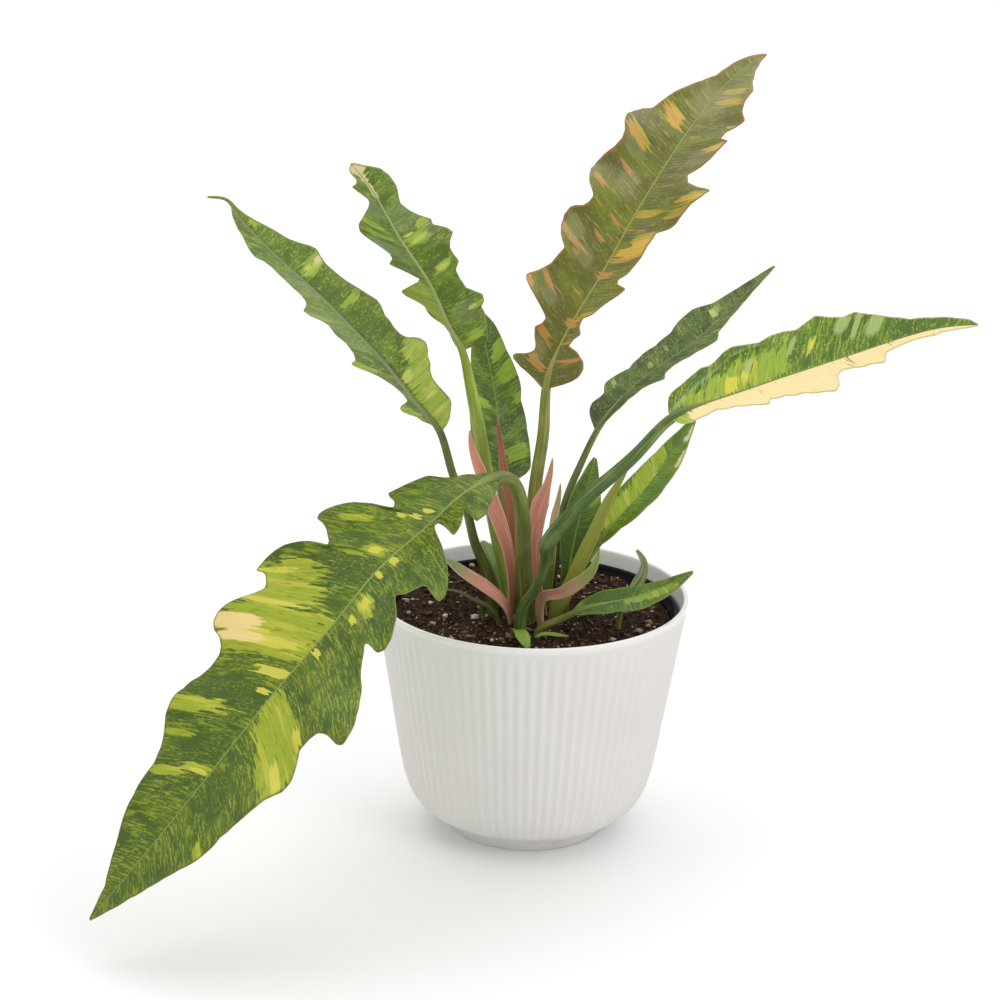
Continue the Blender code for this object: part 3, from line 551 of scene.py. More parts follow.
def crease_field(along, out, route):
    """1 on a fold drawn through (along, out, half width) points, fading to its sides."""
    field = np.zeros(len(along))
    for (a0, o0, w0), (a1, o1, w1) in zip(route, route[1:]):
        t = ((along - a0) * (a1 - a0) + (out - o0) * (o1 - o0)) / ((a1 - a0) ** 2 + (o1 - o0) ** 2)
        t = np.clip(t, 0, 1)
        far = np.hypot(along - a0 - t * (a1 - a0), out - o0 - t * (o1 - o0))
        field = np.maximum(field, np.exp(-(far / (w0 + t * (w1 - w0))) ** 2))
    return field


# Marbling of a blade, from its own attributes: veins holds the side vein's place on the midrib, the
# distance out and the distance to the edge; patches holds how deep a point lies in lime, cream, dark, blush.
COLOURS = ("Green", "Deep", "Lime", "Cream", "Blush", "Rim", "PaintedSheen")
marbling = bpy.data.node_groups.new("leaf_marbling", "ShaderNodeTree")
for label in COLOURS:
    marbling.interface.new_socket(label, in_out="INPUT", socket_type="NodeSocketColor")
# One of these amounts sets how strongly the painted sheen is laid on: a pale tint standing in for
# reflections.
AMOUNTS = {"Flush": 1.0, "Fray": 0.8, "Haze": 0.5, "Hem": 0.9, "Streaks": 0.5, "Specks": 0.4, "Seed": 0.0}
for label, amount in AMOUNTS.items():
    socket = marbling.interface.new_socket(label, in_out="INPUT", socket_type="NodeSocketFloat")
    socket.default_value = amount
for label, kind in (("Color", "Color"), ("Height", "Float"), ("Pale", "Float")):
    marbling.interface.new_socket(label, in_out="OUTPUT", socket_type="NodeSocket" + kind)
given = marbling.nodes.new("NodeGroupInput").outputs
result = marbling.nodes.new("NodeGroupOutput")
axes = node(marbling, "SeparateXYZ", {0: painted(marbling, "veins")["Vector"]}).outputs
marked = painted(marbling, "patches")
marks = node(marbling, "SeparateColor", {0: marked["Color"]}).outputs


def vein_noise(across, along, shift, detail=3.0):
    """Noise drawn out along the side veins; sizes are in cycles per millimetre."""
    spot = node(marbling, "CombineXYZ", {
        0: times(marbling, axes["X"], across),
        1: times(marbling, axes["Y"], along),
        2: calc(marbling, "ADD", given["Seed"], shift),
    })
    return speckle(marbling, spot.outputs[0], 1.0, detail)


def both(*shares):
    return times(marbling, *shares)


def add(a, b, clamp=False):
    return calc(marbling, "ADD", a, b, clamp=clamp)


def scaled(value, factor, offset):
    return calc(marbling, "MULTIPLY_ADD", value, factor, offset)


def over(value, low, high):
    return ramp(marbling, value, low, high)


soft = vein_noise(0.05, 0.03, 0.0)
band = vein_noise(0.22, 0.02, 31.0)
blot = vein_noise(0.16, 0.08, 21.0, 4.0)
wisp = vein_noise(0.55, 0.07, 7.0)
thread = vein_noise(0.85, 0.12, 13.0, 2.0)
hair = vein_noise(1.7, 0.26, 43.0, 1.0)
fleck = vein_noise(1.15, 0.5, 57.0, 1.0)
ragged = add(scaled(wisp, 1.7, -0.85), scaled(thread, 0.7, -0.35))
tone = add(scaled(over(soft, 0.38, 0.62), 0.6, -0.1), scaled(blot, 1.6, -0.65))
tone = add(tone, scaled(hair, 0.8, -0.4), clamp=True)
base = blend(marbling, tone, given["Deep"], given["Green"])
dark_share = over(scaled(ragged, 0.6, marks[2]), 0.42, 0.56)
base = blend(marbling, both(dark_share, 0.85), base, given["Deep"])
calm = scaled(dark_share, -0.75, 1.0)
line_share = both(over(thread, 0.53, 0.59), over(blot, 0.34, 0.50), given["Streaks"], calm)
vein_tone = blend(marbling, 0.62, given["Green"], given["Lime"])
base = blend(marbling, line_share, base, vein_tone)
hair_share = both(over(hair, 0.57, 0.64), over(blot, 0.40, 0.54), 0.7, given["Streaks"], calm)
base = blend(marbling, hair_share, base, vein_tone)
dash_share = both(
    over(wisp, 0.60, 0.64), over(hair, 0.36, 0.5), over(soft, 0.40, 0.56), given["Specks"], calm
)
dash_tone = blend(marbling, 0.45, given["Lime"], given["Cream"])
base = blend(marbling, both(dash_share, 0.8), base, dash_tone)
fleck_share = both(over(fleck, 0.58, 0.66), over(blot, 0.36, 0.50), 0.75, given["Specks"])
base = blend(marbling, fleck_share, base, dash_tone)
lime_share = over(add(marks[0], ragged), 0.43, 0.58)
lime_tone = blend(marbling, both(over(band, 0.48, 0.62), 0.5), given["Lime"], given["Cream"])
lime_tone = blend(marbling, both(over(thread, 0.52, 0.68), 0.5), lime_tone, given["Green"])
base = blend(marbling, lime_share, base, lime_tone)
cream_share = over(add(marks[1], ragged), 0.44, 0.56)
cream_tone = blend(marbling, both(over(thread, 0.58, 0.70), 0.35), given["Cream"], given["Lime"])
base = blend(marbling, cream_share, base, cream_tone)
blush_share = over(scaled(ragged, given["Fray"], marked["Alpha"]), 0.36, 0.62)
base = blend(marbling, both(blush_share, given["Flush"]), base, given["Blush"])
# Painted sheen: a pale grey-green tint where soft reflections and the light on fold crests fall.
painted_sheen_share = over(scaled(ragged, 0.35, painted(marbling, "painted_sheen")["Fac"]), 0.25, 0.75)
base = blend(marbling, both(painted_sheen_share, given["Haze"]), base, given["PaintedSheen"])
hem_share = over(calc(marbling, "DIVIDE", axes["Z"], given["Hem"]), 1.0, 0.22)
base = blend(marbling, both(hem_share, 0.75), base, given["Rim"])
RIB_PITCH = 2.3
ribs = calc(marbling, "SINE", both(axes["X"], 2.0 * math.pi / RIB_PITCH))
feed(marbling, result, {
    "Color": base,
    "Height": add(both(ribs, 0.18), both(thread, 0.5)),
    "Pale": calc(marbling, "MAXIMUM", lime_share, cream_share),
})


# The usual painted sheen colour: a pale grey-green that stands in for soft reflections on a leaf.
PLAIN_PAINTED_SHEEN = (158, 172, 128)


def palette(*chips):
    """Colours of one face of a leaf in the order of COLOURS; the last, a painted sheen, is plain on most."""
    return {label: paint(*chip) for label, chip in zip(COLOURS, (*chips, PLAIN_PAINTED_SHEEN))}


def leaf_skin(name, colours, rough, sheen, **amounts):
    mat, tree, shader = new_material(name)
    marble = node(tree, "Group", node_tree=marbling)
    feed(tree, marble, {**colours, **amounts})
    gloss = calc(tree, "MULTIPLY_ADD", marble.outputs["Pale"], 0.06, rough)
    ribbed = bumps(tree, marble.outputs["Height"], 0.35, 0.0005)
    wear(tree, shader, marble.outputs["Color"], gloss, ribbed, sheen)
    return mat


def stalk_skin(name, *chips):
    """Skin of a stalk and midrib; chips: body, light and dark streaks, rib above, rib below."""
    body, light, dark, rib_top, rib_under = (paint(*chip) for chip in chips)
    mat, tree, shader = new_material(name)
    spot = node(tree, "SeparateXYZ", {0: painted(tree, "stalk")["Vector"]}).outputs
    lengthwise = node(tree, "CombineXYZ", {
        0: times(tree, spot["X"], 0.02), 1: times(tree, spot["Y"], 2.2), 2: 4.0,
    })
    streak = speckle(tree, lengthwise.outputs[0], 1.6, 4.0)
    cloudy = speckle(tree, here(tree), 60.0, 2.0)
    shade = blend(tree, ramp(tree, streak, 0.35, 0.68), dark, body)
    shade = blend(tree, times(tree, ramp(tree, streak, 0.58, 0.75), 0.7), shade, light)
    shade = blend(tree, times(tree, ramp(tree, cloudy, 0.5, 0.7), 0.25), shade, light)
    rib = blend(tree, ramp(tree, spot["Z"], 0.45, 0.55), rib_under, rib_top)
    rib = blend(tree, times(tree, ramp(tree, streak, 0.45, 0.7), 0.35), rib, body)
    shade = blend(tree, ramp(tree, spot["X"], -4.0, 22.0), shade, rib)
    wear(tree, shader, shade, 0.42, bumps(tree, streak, 0.3, 0.0005), 0.4)
    return mat


def tube_mesh(name, rows, around, materials):
    """A capped tube cut into rows, with each point's 0-1 place along, its angle and its 0-1 radius."""
    bm = bmesh.new()
    bmesh.ops.create_cone(
        bm, cap_ends=True, cap_tris=True, segments=around, radius1=1.0, radius2=1.0, depth=2.0
    )
    upright = [e for e in bm.edges if abs(e.verts[0].co.z - e.verts[1].co.z) > 1.0]
    bmesh.ops.subdivide_edges(bm, edges=upright, cuts=rows - 2, use_grid_fill=True)
    made = mesh_object(name, bm, materials)
    x, y, z = points_of(made).T
    return made, (z + 1.0) / 2.0, np.arctan2(y, x), np.hypot(x, y)


# Sizes in millimetres: the blade is quilted between its side veins, its teeth curl down against the
# mean of the rows round them, and the stalk, 6 % flatter than wide, turns into the midrib over a short run.
QUILT = 0.10
QUILT_PITCH = 8.5
TOOTH_CURL = 1.5
TOOTH_ROWS = 18
CREASE_HEIGHT = 1.1
# Fold crests also get painted sheen, a pale tint for the light they catch, at this share.
CREASE_PAINTED_SHEEN = 0.55
NECK_RUN = 26.0
STALK_SIDES = 20
STALK_STEP = 3.0
FLATTER = 0.94


def grow_leaf(
    node_name, route, blade_from, stalk, face, fold, plus, minus, rows, ripple, skins,
    lime=(), cream=(), dark=(), blush=(), painted_sheen=(), crease=(), frill=(0.0, 30.0), ridge=0.8, columns=48,
):
    """Blade and stalk of one leaf over its CAD node.

    route: points of stalk and midrib; stalk: (share of its length, radius); face: where the upper face
    looks at base and tip; plus, minus: outline corners of the two sides, millimetres along the midrib
    and out from it; ripple: height, pitch, shift; skins: upper, under, stalk materials.
    """
    rib = Midrib(route, blade_from, face, fold)
    length = rib.length
    plus = [(a * length / plus[-1][0], w) for a, w in plus]
    minus = [(a * length / minus[-1][0], w) for a, w in minus]
    bm = bmesh.new()
    bmesh.ops.create_grid(bm, x_segments=rows, y_segments=columns, size=1.0)
    bmesh.ops.reverse_faces(bm, faces=bm.faces)
    blade = mesh_object(node_name + "_blade", bm, skins[:2])
    u, v, _ = points_of(blade).T
    levels, k = np.unique(np.round(u, 5), return_inverse=True)
    rows = len(levels)
    ap, wp = edge_rows(plus, rows, length)
    am, wm = edge_rows(minus, rows, length)
    middle = 0.5 * (ap - VEIN_SLOPE * wp) + 0.5 * (am - VEIN_SLOPE * wm)
    spread = np.linspace(0.0, length - 1.0, rows)
    middle = np.maximum.accumulate(0.35 * np.maximum(middle, 0.0) + 0.65 * spread)
    a_edge = np.where(v > 0, ap[k], am[k])
    w_edge = np.maximum(np.where(v > 0, wp[k], wm[k]), 0.5)
    m = middle[k]
    along = np.minimum(m + (a_edge - m) * np.abs(v) ** 1.3, length)
    out = w_edge * v
    reach = np.abs(out)
    spot = rib.point(along, out, ripple)
    n = rib.frame(np.clip(along, 0.0, length))[2]
    span = 2 * TOOTH_ROWS + 1
    teeth = []
    for w in (wp, wm):
        smooth = np.convolve(np.pad(w, TOOTH_ROWS, mode="edge"), np.ones(span) / span, mode="valid")
        teeth.append((w - smooth)[k])
    tooth = np.where(v > 0, *teeth) / 10.0
    quilt = QUILT * np.sin(2 * math.pi * m / QUILT_PITCH + 1.5 * np.sin(m / 17.0))
    quilt = quilt * np.minimum(reach / 8.0, 1.0) * np.minimum(1.0, (w_edge - reach) / 4.0)
    side = np.where(v > 0, 0.0, 2.1)
    flutter = frill[0] * (reach / 30.0) ** 2 * np.sin(2 * math.pi * along / frill[1] + side)
    fold_line = crease_field(along, out, crease)
    lift = quilt - TOOTH_CURL * tooth * np.abs(v) ** 2 + flutter + CREASE_HEIGHT * fold_line
    move_points(blade, spot + n * lift[:, None])
    store(blade.data, "veins", "FLOAT_VECTOR", np.stack([m, out, w_edge * (1.0 - np.abs(v))], -1))
    fields = [patch_field(m, along, out, patches) for patches in (lime, cream, dark, blush)]
    store(blade.data, "patches", "FLOAT_COLOR", np.stack(fields, -1))
    # Painted sheen: the listed patches and the fold crests, stored for the skin's pale reflection tint.
    painted_sheen_field = np.maximum(patch_field(m, along, out, painted_sheen), CREASE_PAINTED_SHEEN * fold_line)
    store(blade.data, "painted_sheen", "FLOAT", painted_sheen_field)
    wall = blade.modifiers.new("thickness", "SOLIDIFY")
    wall.thickness = BLADE * MM
    wall.offset = 0.0
    wall.material_offset = 1
    wall.material_offset_rim = 1

    steps = int((rib.stalk + length) / STALK_STEP)
    stem, u, angle, hub = tube_mesh(node_name + "_stalk", steps, STALK_SIDES, skins[2:])
    s = -rib.stalk + u * (rib.stalk + length * 0.995)
    c, t, n, b = rib.frame(s)
    share = np.clip(1.0 + s / rib.stalk, 0.0, 1.0)
    radius = np.interp(share, [p[0] for p in stalk], [p[1] for p in stalk])
    run = np.clip(s / length, 0.0, 1.0)
    keel = stalk[-1][1] * ridge * (1.0 - run) ** 0.8 + 0.25
    into = ease(np.clip(s / NECK_RUN, 0.0, 1.0))

    def narrowed(on_stalk, on_blade):
        return on_stalk * (1.0 - into) + on_blade * into

    upper = np.sin(angle) >= 0
    half_width = np.where(upper, narrowed(radius, 0.24 * keel + 0.25), narrowed(radius, keel))
    high = narrowed(radius * FLATTER, BLADE * 0.5 + 0.12 + 0.10 * keel)
    deep = narrowed(radius * FLATTER, BLADE * 0.5 + keel * 0.9)
    x = np.cos(angle) * half_width * hub
    z = np.sin(angle) * np.where(upper, high, deep) * hub
    groove = (1.0 - into) * np.exp(-((angle - math.pi / 2) / 0.35) ** 2) * radius * 0.14
    move_points(stem, c + b * x[:, None] + n * (z - groove)[:, None])
    store(stem.data, "stalk", "FLOAT_VECTOR", np.stack([s, np.cos(angle), upper * 1.0], -1))
    for piece in (blade, stem):
        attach(piece, "root")
        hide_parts(node_name)


UPPER = palette((94, 118, 24), (68, 94, 26), (158, 172, 44), (208, 202, 76), (240, 214, 140), (108, 104, 48))
# Undersides: paler than the upper faces, and lighter still as painted light for light passing through the
# blade.
UNDER = palette((118, 142, 58), (92, 116, 46), (162, 188, 74), (204, 210, 108), (236, 214, 160),
                (134, 148, 84))
GREEN_STALK = stalk_skin("green_stalk", (124, 134, 62), (160, 166, 98), (96, 104, 46), (138, 158, 76),
                         (132, 156, 96))
grow_leaf(
    "leaf_front_left",
    [(0, -6, 116), (-2.5, -8.5, 140), (-5, -12.5, 163), (-7, -21, 198), (-13, -33, 219), (-22, -46, 224),
     (-42, -72, 221), (-56, -92, 213), (-81, -120, 198), (-101, -140, 178), (-130, -160, 147),
     (-162, -178, 109), (-194, -190, 69), (-228, -200, 28)],
    5,
    [(0, 5.4), (0.4, 5.0), (1, 3.9)],
    [(-0.2, -0.65, 0.75), (-0.45, -0.6, 0.65)],
    (12, 8),
    [(0, 3.9), (10, 6), (23, 11), (28, 16), (31, 22), (37, 24), (44, 26), (52, 28), (58, 29.5), (60, 27),
     (61, 23), (66, 20), (69, 25), (71, 32), (74, 38), (77, 43), (83, 48), (90, 49), (95, 48), (98, 46),
     (98, 42), (100, 37), (103, 33), (105, 30), (108, 29), (109, 34), (111, 40), (114, 44), (118, 49),
     (123, 53), (129, 57), (136, 59), (140, 58.5), (138, 55), (139, 51), (144, 46), (147, 44), (154, 46),
     (161, 49), (167, 51.5), (174, 53.5), (179, 53.5), (182, 51), (183, 46), (186, 42), (190, 40),
     (198, 40), (206, 41), (216, 42), (226, 42.5), (233, 41), (241, 37), (248, 34), (258, 31), (268, 30),
     (278, 27), (287, 25), (297, 21), (305, 17), (314, 12), (323, 6), (333, 3), (341, 0.5)],
    [(0, 3.9), (8, 8), (20, 14), (32, 20), (42, 23), (48, 22.5), (45, 19), (40, 14), (39, 9.5), (43, 10.5),
     (50, 15), (58, 18), (63, 18.5), (59, 12), (56, 7), (57, 3.5), (61, 4), (67, 10), (73, 20), (78, 27),
     (85, 35), (92, 41), (98, 44), (104, 44.5), (102, 39), (99, 34), (99, 30.5), (104, 29), (110, 26.5),
     (113, 22), (119, 28), (127, 35), (133, 38.5), (139, 39), (142, 36), (141, 32), (140.5, 28), (142, 27),
     (145, 30), (150, 33), (156, 38), (165, 48), (172, 55), (179, 62), (188, 64), (190, 60), (189, 54),
     (189, 49), (191, 44), (196, 41), (203, 39), (211, 43), (218, 46.5), (224, 47.5), (232, 44), (241, 42),
     (251, 38), (260, 34), (270, 32.5), (277, 31), (286, 27), (295, 23), (305, 18), (317, 12), (330, 6),
     (341, 0.5)],
    320, (1.6, 58, 0.1),
    (
        leaf_skin("front_left_upper", UPPER, 0.42, 0.32, Streaks=0.75, Specks=0.5, Seed=1.0),
        leaf_skin("front_left_under", UNDER, 0.55, 0.25, Streaks=0.5, Specks=0.4, Seed=1.0),
        GREEN_STALK,
    ),
    lime=[(131, 42, 8, 19), (144, 36, 9, 22), (156, 25, 10, 34), (171, 24, 8, 34), (206, -25, 15, 24),
          (220, -34, 11, 16), (196, -10, 9, 14), (124, -10, 5, 7), (219, 33, 5, 18), (236, 30, 2, 8),
          (244, 8, 3, 9), (94, 9, 4, 6), (84, 32, 2.5, 9), (256, 23, 3, 10), (275, -30, 3, 8),
          (150, -52, 4, 7), (103, 20, 2.5, 8)],
    cream=[(133, 50, 2.5, 12), (150, 34, 2, 16), (168, 20, 3.5, 12), (180, 8, 3, 9), (171, 34, 3, 10),
           (190, 6, 2, 4), (124, -9, 3, 4), (94, 9, 2.5, 3), (92, -3, 2.5, 4), (200, -34, 3, 6),
           (222, -38, 3, 8), (61, 9, 2.5, 3), (134, -9, 2, 3), (53, 6, 2, 2.5), (66, 15, 2, 2.5),
           (244, 7, 1.4, 4), (105, -3, 2, 3), (158, -5, 2, 3)],
    dark=[(108, 14, 10, 14), (133, 22, 3, 8), (205, 26, 9, 26), (232, 12, 10, 14), (213, -18, 2.5, 8),
          (200, 6, 7, 12), (125, -24, 8, 10), (246, -14, 12, 10)],
    blush=[(172, 44, 5, 12), (176, 36, 3, 10), (150, 54, 3, 5)],
    ridge=0.65,
)

# Left leaf: leans out to the upper left and shows its paler underside with a broad midrib.
# Its stalk is dark olive, flat-winged, and grew out of the crown behind the front one.
DARK_STALK = stalk_skin("olive_stalk", (102, 116, 46), (140, 150, 80), (74, 88, 34), (136, 150, 96),
                        (142, 150, 106))
grow_leaf(
    "leaf_left",
    [(-22, 4, 116), (-22.5, 3.5, 135), (-26, 3, 153), (-33, 2, 170), (-38, 1, 190), (-46, 0.5, 210.5),
     (-54, -1, 237), (-60.5, -4, 247), (-72, -12, 264), (-85.5, -22, 284.5), (-99.5, -33, 303),
     (-112.5, -45, 320.5), (-125.5, -57, 336.5), (-143.5, -72, 358), (-159.5, -85, 380), (-164, -90, 387),
     (-173, -97, 390)],
    6,
    [(0, 3.6), (0.3, 3.3), (0.5, 2.7), (1, 2.2)],
    [(0.4, 0.8, 0.45)],
    (12, 8),
    [(0, 2.2), (5, 5), (7, 9), (11, 10), (13, 14), (16, 18), (19, 17), (21, 12), (23, 8), (28, 8), (36, 11),
     (43, 16), (48, 21), (52, 26), (56, 28), (58, 23), (64, 20), (73, 19), (80, 21.5), (88, 20.5), (93, 23),
     (97, 27), (103, 27), (108, 21), (113, 17.5), (121, 16), (134, 16), (147, 15), (154, 15), (159, 17.5),
     (164, 16.5), (170, 14.5), (178, 11), (187, 8), (194, 5), (200, 1.6), (208, 1.2), (219, 0.5)],
    [(0, 2.2), (4, 9), (9, 14), (15, 18.5), (20, 20.5), (25, 20), (31, 18.5), (37, 18), (43, 20), (52, 24),
     (59, 29), (64, 31.5), (68, 30.5), (70, 27), (70, 23), (74, 21), (82, 21.5), (91, 22), (99, 24.5),
     (105, 25.5), (111, 24), (119, 23), (127, 21), (134, 20), (142, 19), (149, 20.5), (155, 22.5),
     (159, 21), (163, 17.5), (168, 14), (176, 12), (185, 8), (193, 4), (200, 1.6), (208, 1.2), (219, 0.5)],
    220, (1.4, 52, 0.3),
    (
        leaf_skin("left_upper", UPPER, 0.42, 0.45, Streaks=0.5, Specks=0.5, Seed=2.0),
        leaf_skin("left_under", UNDER, 0.55, 0.22, Streaks=0.6, Specks=1.0, Haze=0.25, Seed=2.0),
        DARK_STALK,
    ),
    lime=[(60, -24, 9, 12), (44, -16, 9, 14), (30, -14, 9, 16), (15, -10, 9, 12), (5, -6, 6, 8),
          (53, 22, 3, 10), (14, 12, 4, 8), (145, -12, 5, 9), (112, -14, 3, 8), (97, 20, 2, 7),
          (188, -6, 3, 4)],
    cream=[(44, -6, 3, 4), (147, -17, 2.5, 5), (26, -12, 1.5, 4), (14, -9, 1.5, 4), (144, -9, 1.5, 3)],
    dark=[(56, -12, 5, 6), (88, -10, 14, 8), (118, -6, 10, 5)],
    painted_sheen=[(78, 12, 12, 8), (100, 16, 8, 10), (130, 8, 12, 7)],
    blush=[(148, -18, 2.0, 3)],
    ridge=0.6,
)

# Upper left leaf: stands left of the middle and turns its underside to the front, lobes curling.
# The stalk is thick and yellow-green; the midrib pales to cream towards the tip.
LIME_STALK = stalk_skin("lime_stalk", (164, 182, 70), (196, 206, 104), (128, 150, 54), (190, 196, 130),
                        (166, 176, 116))
grow_leaf(
    "leaf_upper_left",
    [(-12, 4, 116), (-11, 5, 134), (-15, 8, 151), (-22, 12, 180), (-28, 14, 210), (-32, 12, 235),
     (-37, 6.5, 260.5), (-42, 0, 283.5), (-48, -8.5, 298), (-53.5, -17, 312.5), (-61, -28, 331.5),
     (-76, -48, 360), (-89.5, -66, 388.5), (-100, -78, 405)],
    7,
    [(0, 4.5), (0.5, 4.3), (0.75, 3.7), (0.9, 3.0), (1, 2.2)],
    [(0.3, 0.8, 0.5)],
    (14, 10),
    [(0, 2.2), (13, 3), (20, 4.5), (24, 9), (28, 12), (33, 12.5), (37, 17), (41, 21), (46, 22.5), (49, 17),
     (53, 9.5), (57, 6.5), (61, 13), (65, 19), (69, 21), (74, 16.5), (78, 16.5), (83, 20), (92, 23.5),
     (99, 25), (103, 24), (107, 20), (113, 15), (119, 10), (123, 7.5), (126, 7.5), (131, 10), (136, 12.5),
     (138, 8.5), (142, 6), (149, 6), (153, 4), (157, 0.5)],
    [(0, 2.2), (2, 8), (3, 16), (8, 18.5), (15, 20.5), (24, 21.5), (32, 21.5), (37, 25.5), (42, 26),
     (44, 22), (47, 17.5), (54, 17), (62, 18), (65, 20), (68, 22.5), (73, 20.5), (77, 20.5), (83, 23.5),
     (88, 26.5), (94, 31), (97, 28), (100, 20.5), (105, 21.5), (110, 16.5), (115, 12.5), (120, 10),
     (125, 11), (133, 13.5), (142, 14.5), (148, 12.5), (153, 5), (157, 0.5)],
    200, (1.2, 44, 0.5),
    (
        leaf_skin("upper_left_upper", UPPER, 0.42, 0.45, Streaks=0.5, Specks=0.5, Seed=3.0),
        leaf_skin("upper_left_under", UNDER, 0.48, 0.28, Streaks=0.7, Specks=0.8, Haze=0.3, Seed=3.0),
        LIME_STALK,
    ),
    lime=[(48, 12, 9, 12), (34, 6, 9, 7), (22, 4, 8, 5), (92, -9, 5, 8), (104, 15, 3, 8), (96, 14, 2.5, 8),
          (36, -22, 2, 5), (42, 16, 7, 9), (11, -12, 3, 6), (66, -12, 3, 6), (104, -17, 4, 5),
          (155, 0, 8, 8)],
    cream=[(92, -10, 1.6, 6), (96, -6, 1.4, 4), (66, -12, 1.5, 4), (34, -18, 1.5, 4)],
    dark=[(75, -12, 8, 8), (48, -8, 6, 6)],
    painted_sheen=[(112, -8, 12, 9), (120, 8, 10, 6), (84, 14, 6, 7), (100, -20, 6, 6), (30, -12, 8, 8)],
    blush=[(157, 0, 9, 8), (150, 3, 4, 4), (146, 0, 8, 1.8), (134, 0, 9, 1.3)],
    frill=(2.0, 26.0), ridge=0.52,
)

# Broad back leaf: a short, unlobed young leaf behind the crown, deep green with a few lime patches.
# It is a plain blade on a thin stalk that most of the others hide.
BROAD_UPPER = palette((114, 146, 44), (68, 92, 26), (146, 176, 52), (184, 196, 62), (220, 206, 128),
                      (120, 136, 56))
grow_leaf(
    "leaf_back_broad",
    [(-12, 18, 116), (-14, 22, 152), (-18, 34, 185), (-19, 40, 194), (-20, 50, 216), (-23, 60, 237),
     (-29, 68, 265), (-34, 72, 288)],
    3,
    [(0, 3.0), (1, 2.4)],
    [(0.4, -0.8, 0.4)],
    (8, 8),
    [(0, 2.4), (2, 12), (8, 19), (29, 17), (46, 15), (60, 16), (75, 12), (91, 8), (101, 0.9)],
    [(0, 2.4), (3, 12), (10, 18), (30, 19), (52, 17), (72, 12), (90, 6), (101, 0.9)],
    90, (0.8, 60, 0.2),
    (
        leaf_skin("back_broad_upper", BROAD_UPPER, 0.38, 0.5, Streaks=0.6, Specks=0.6, Seed=4.0),
        leaf_skin("back_broad_under", UNDER, 0.5, 0.35, Streaks=0.3, Specks=0.4, Seed=4.0),
        GREEN_STALK,
    ),
    lime=[(63, 12, 6, 7), (76, 8, 5, 6), (18, 11, 4, 7), (48, 14, 3, 4), (47, -9, 3, 4)],
    dark=[(84, 0, 20, 8), (50, -4, 6, 6), (34, 4, 6, 5)],
    columns=36,
)

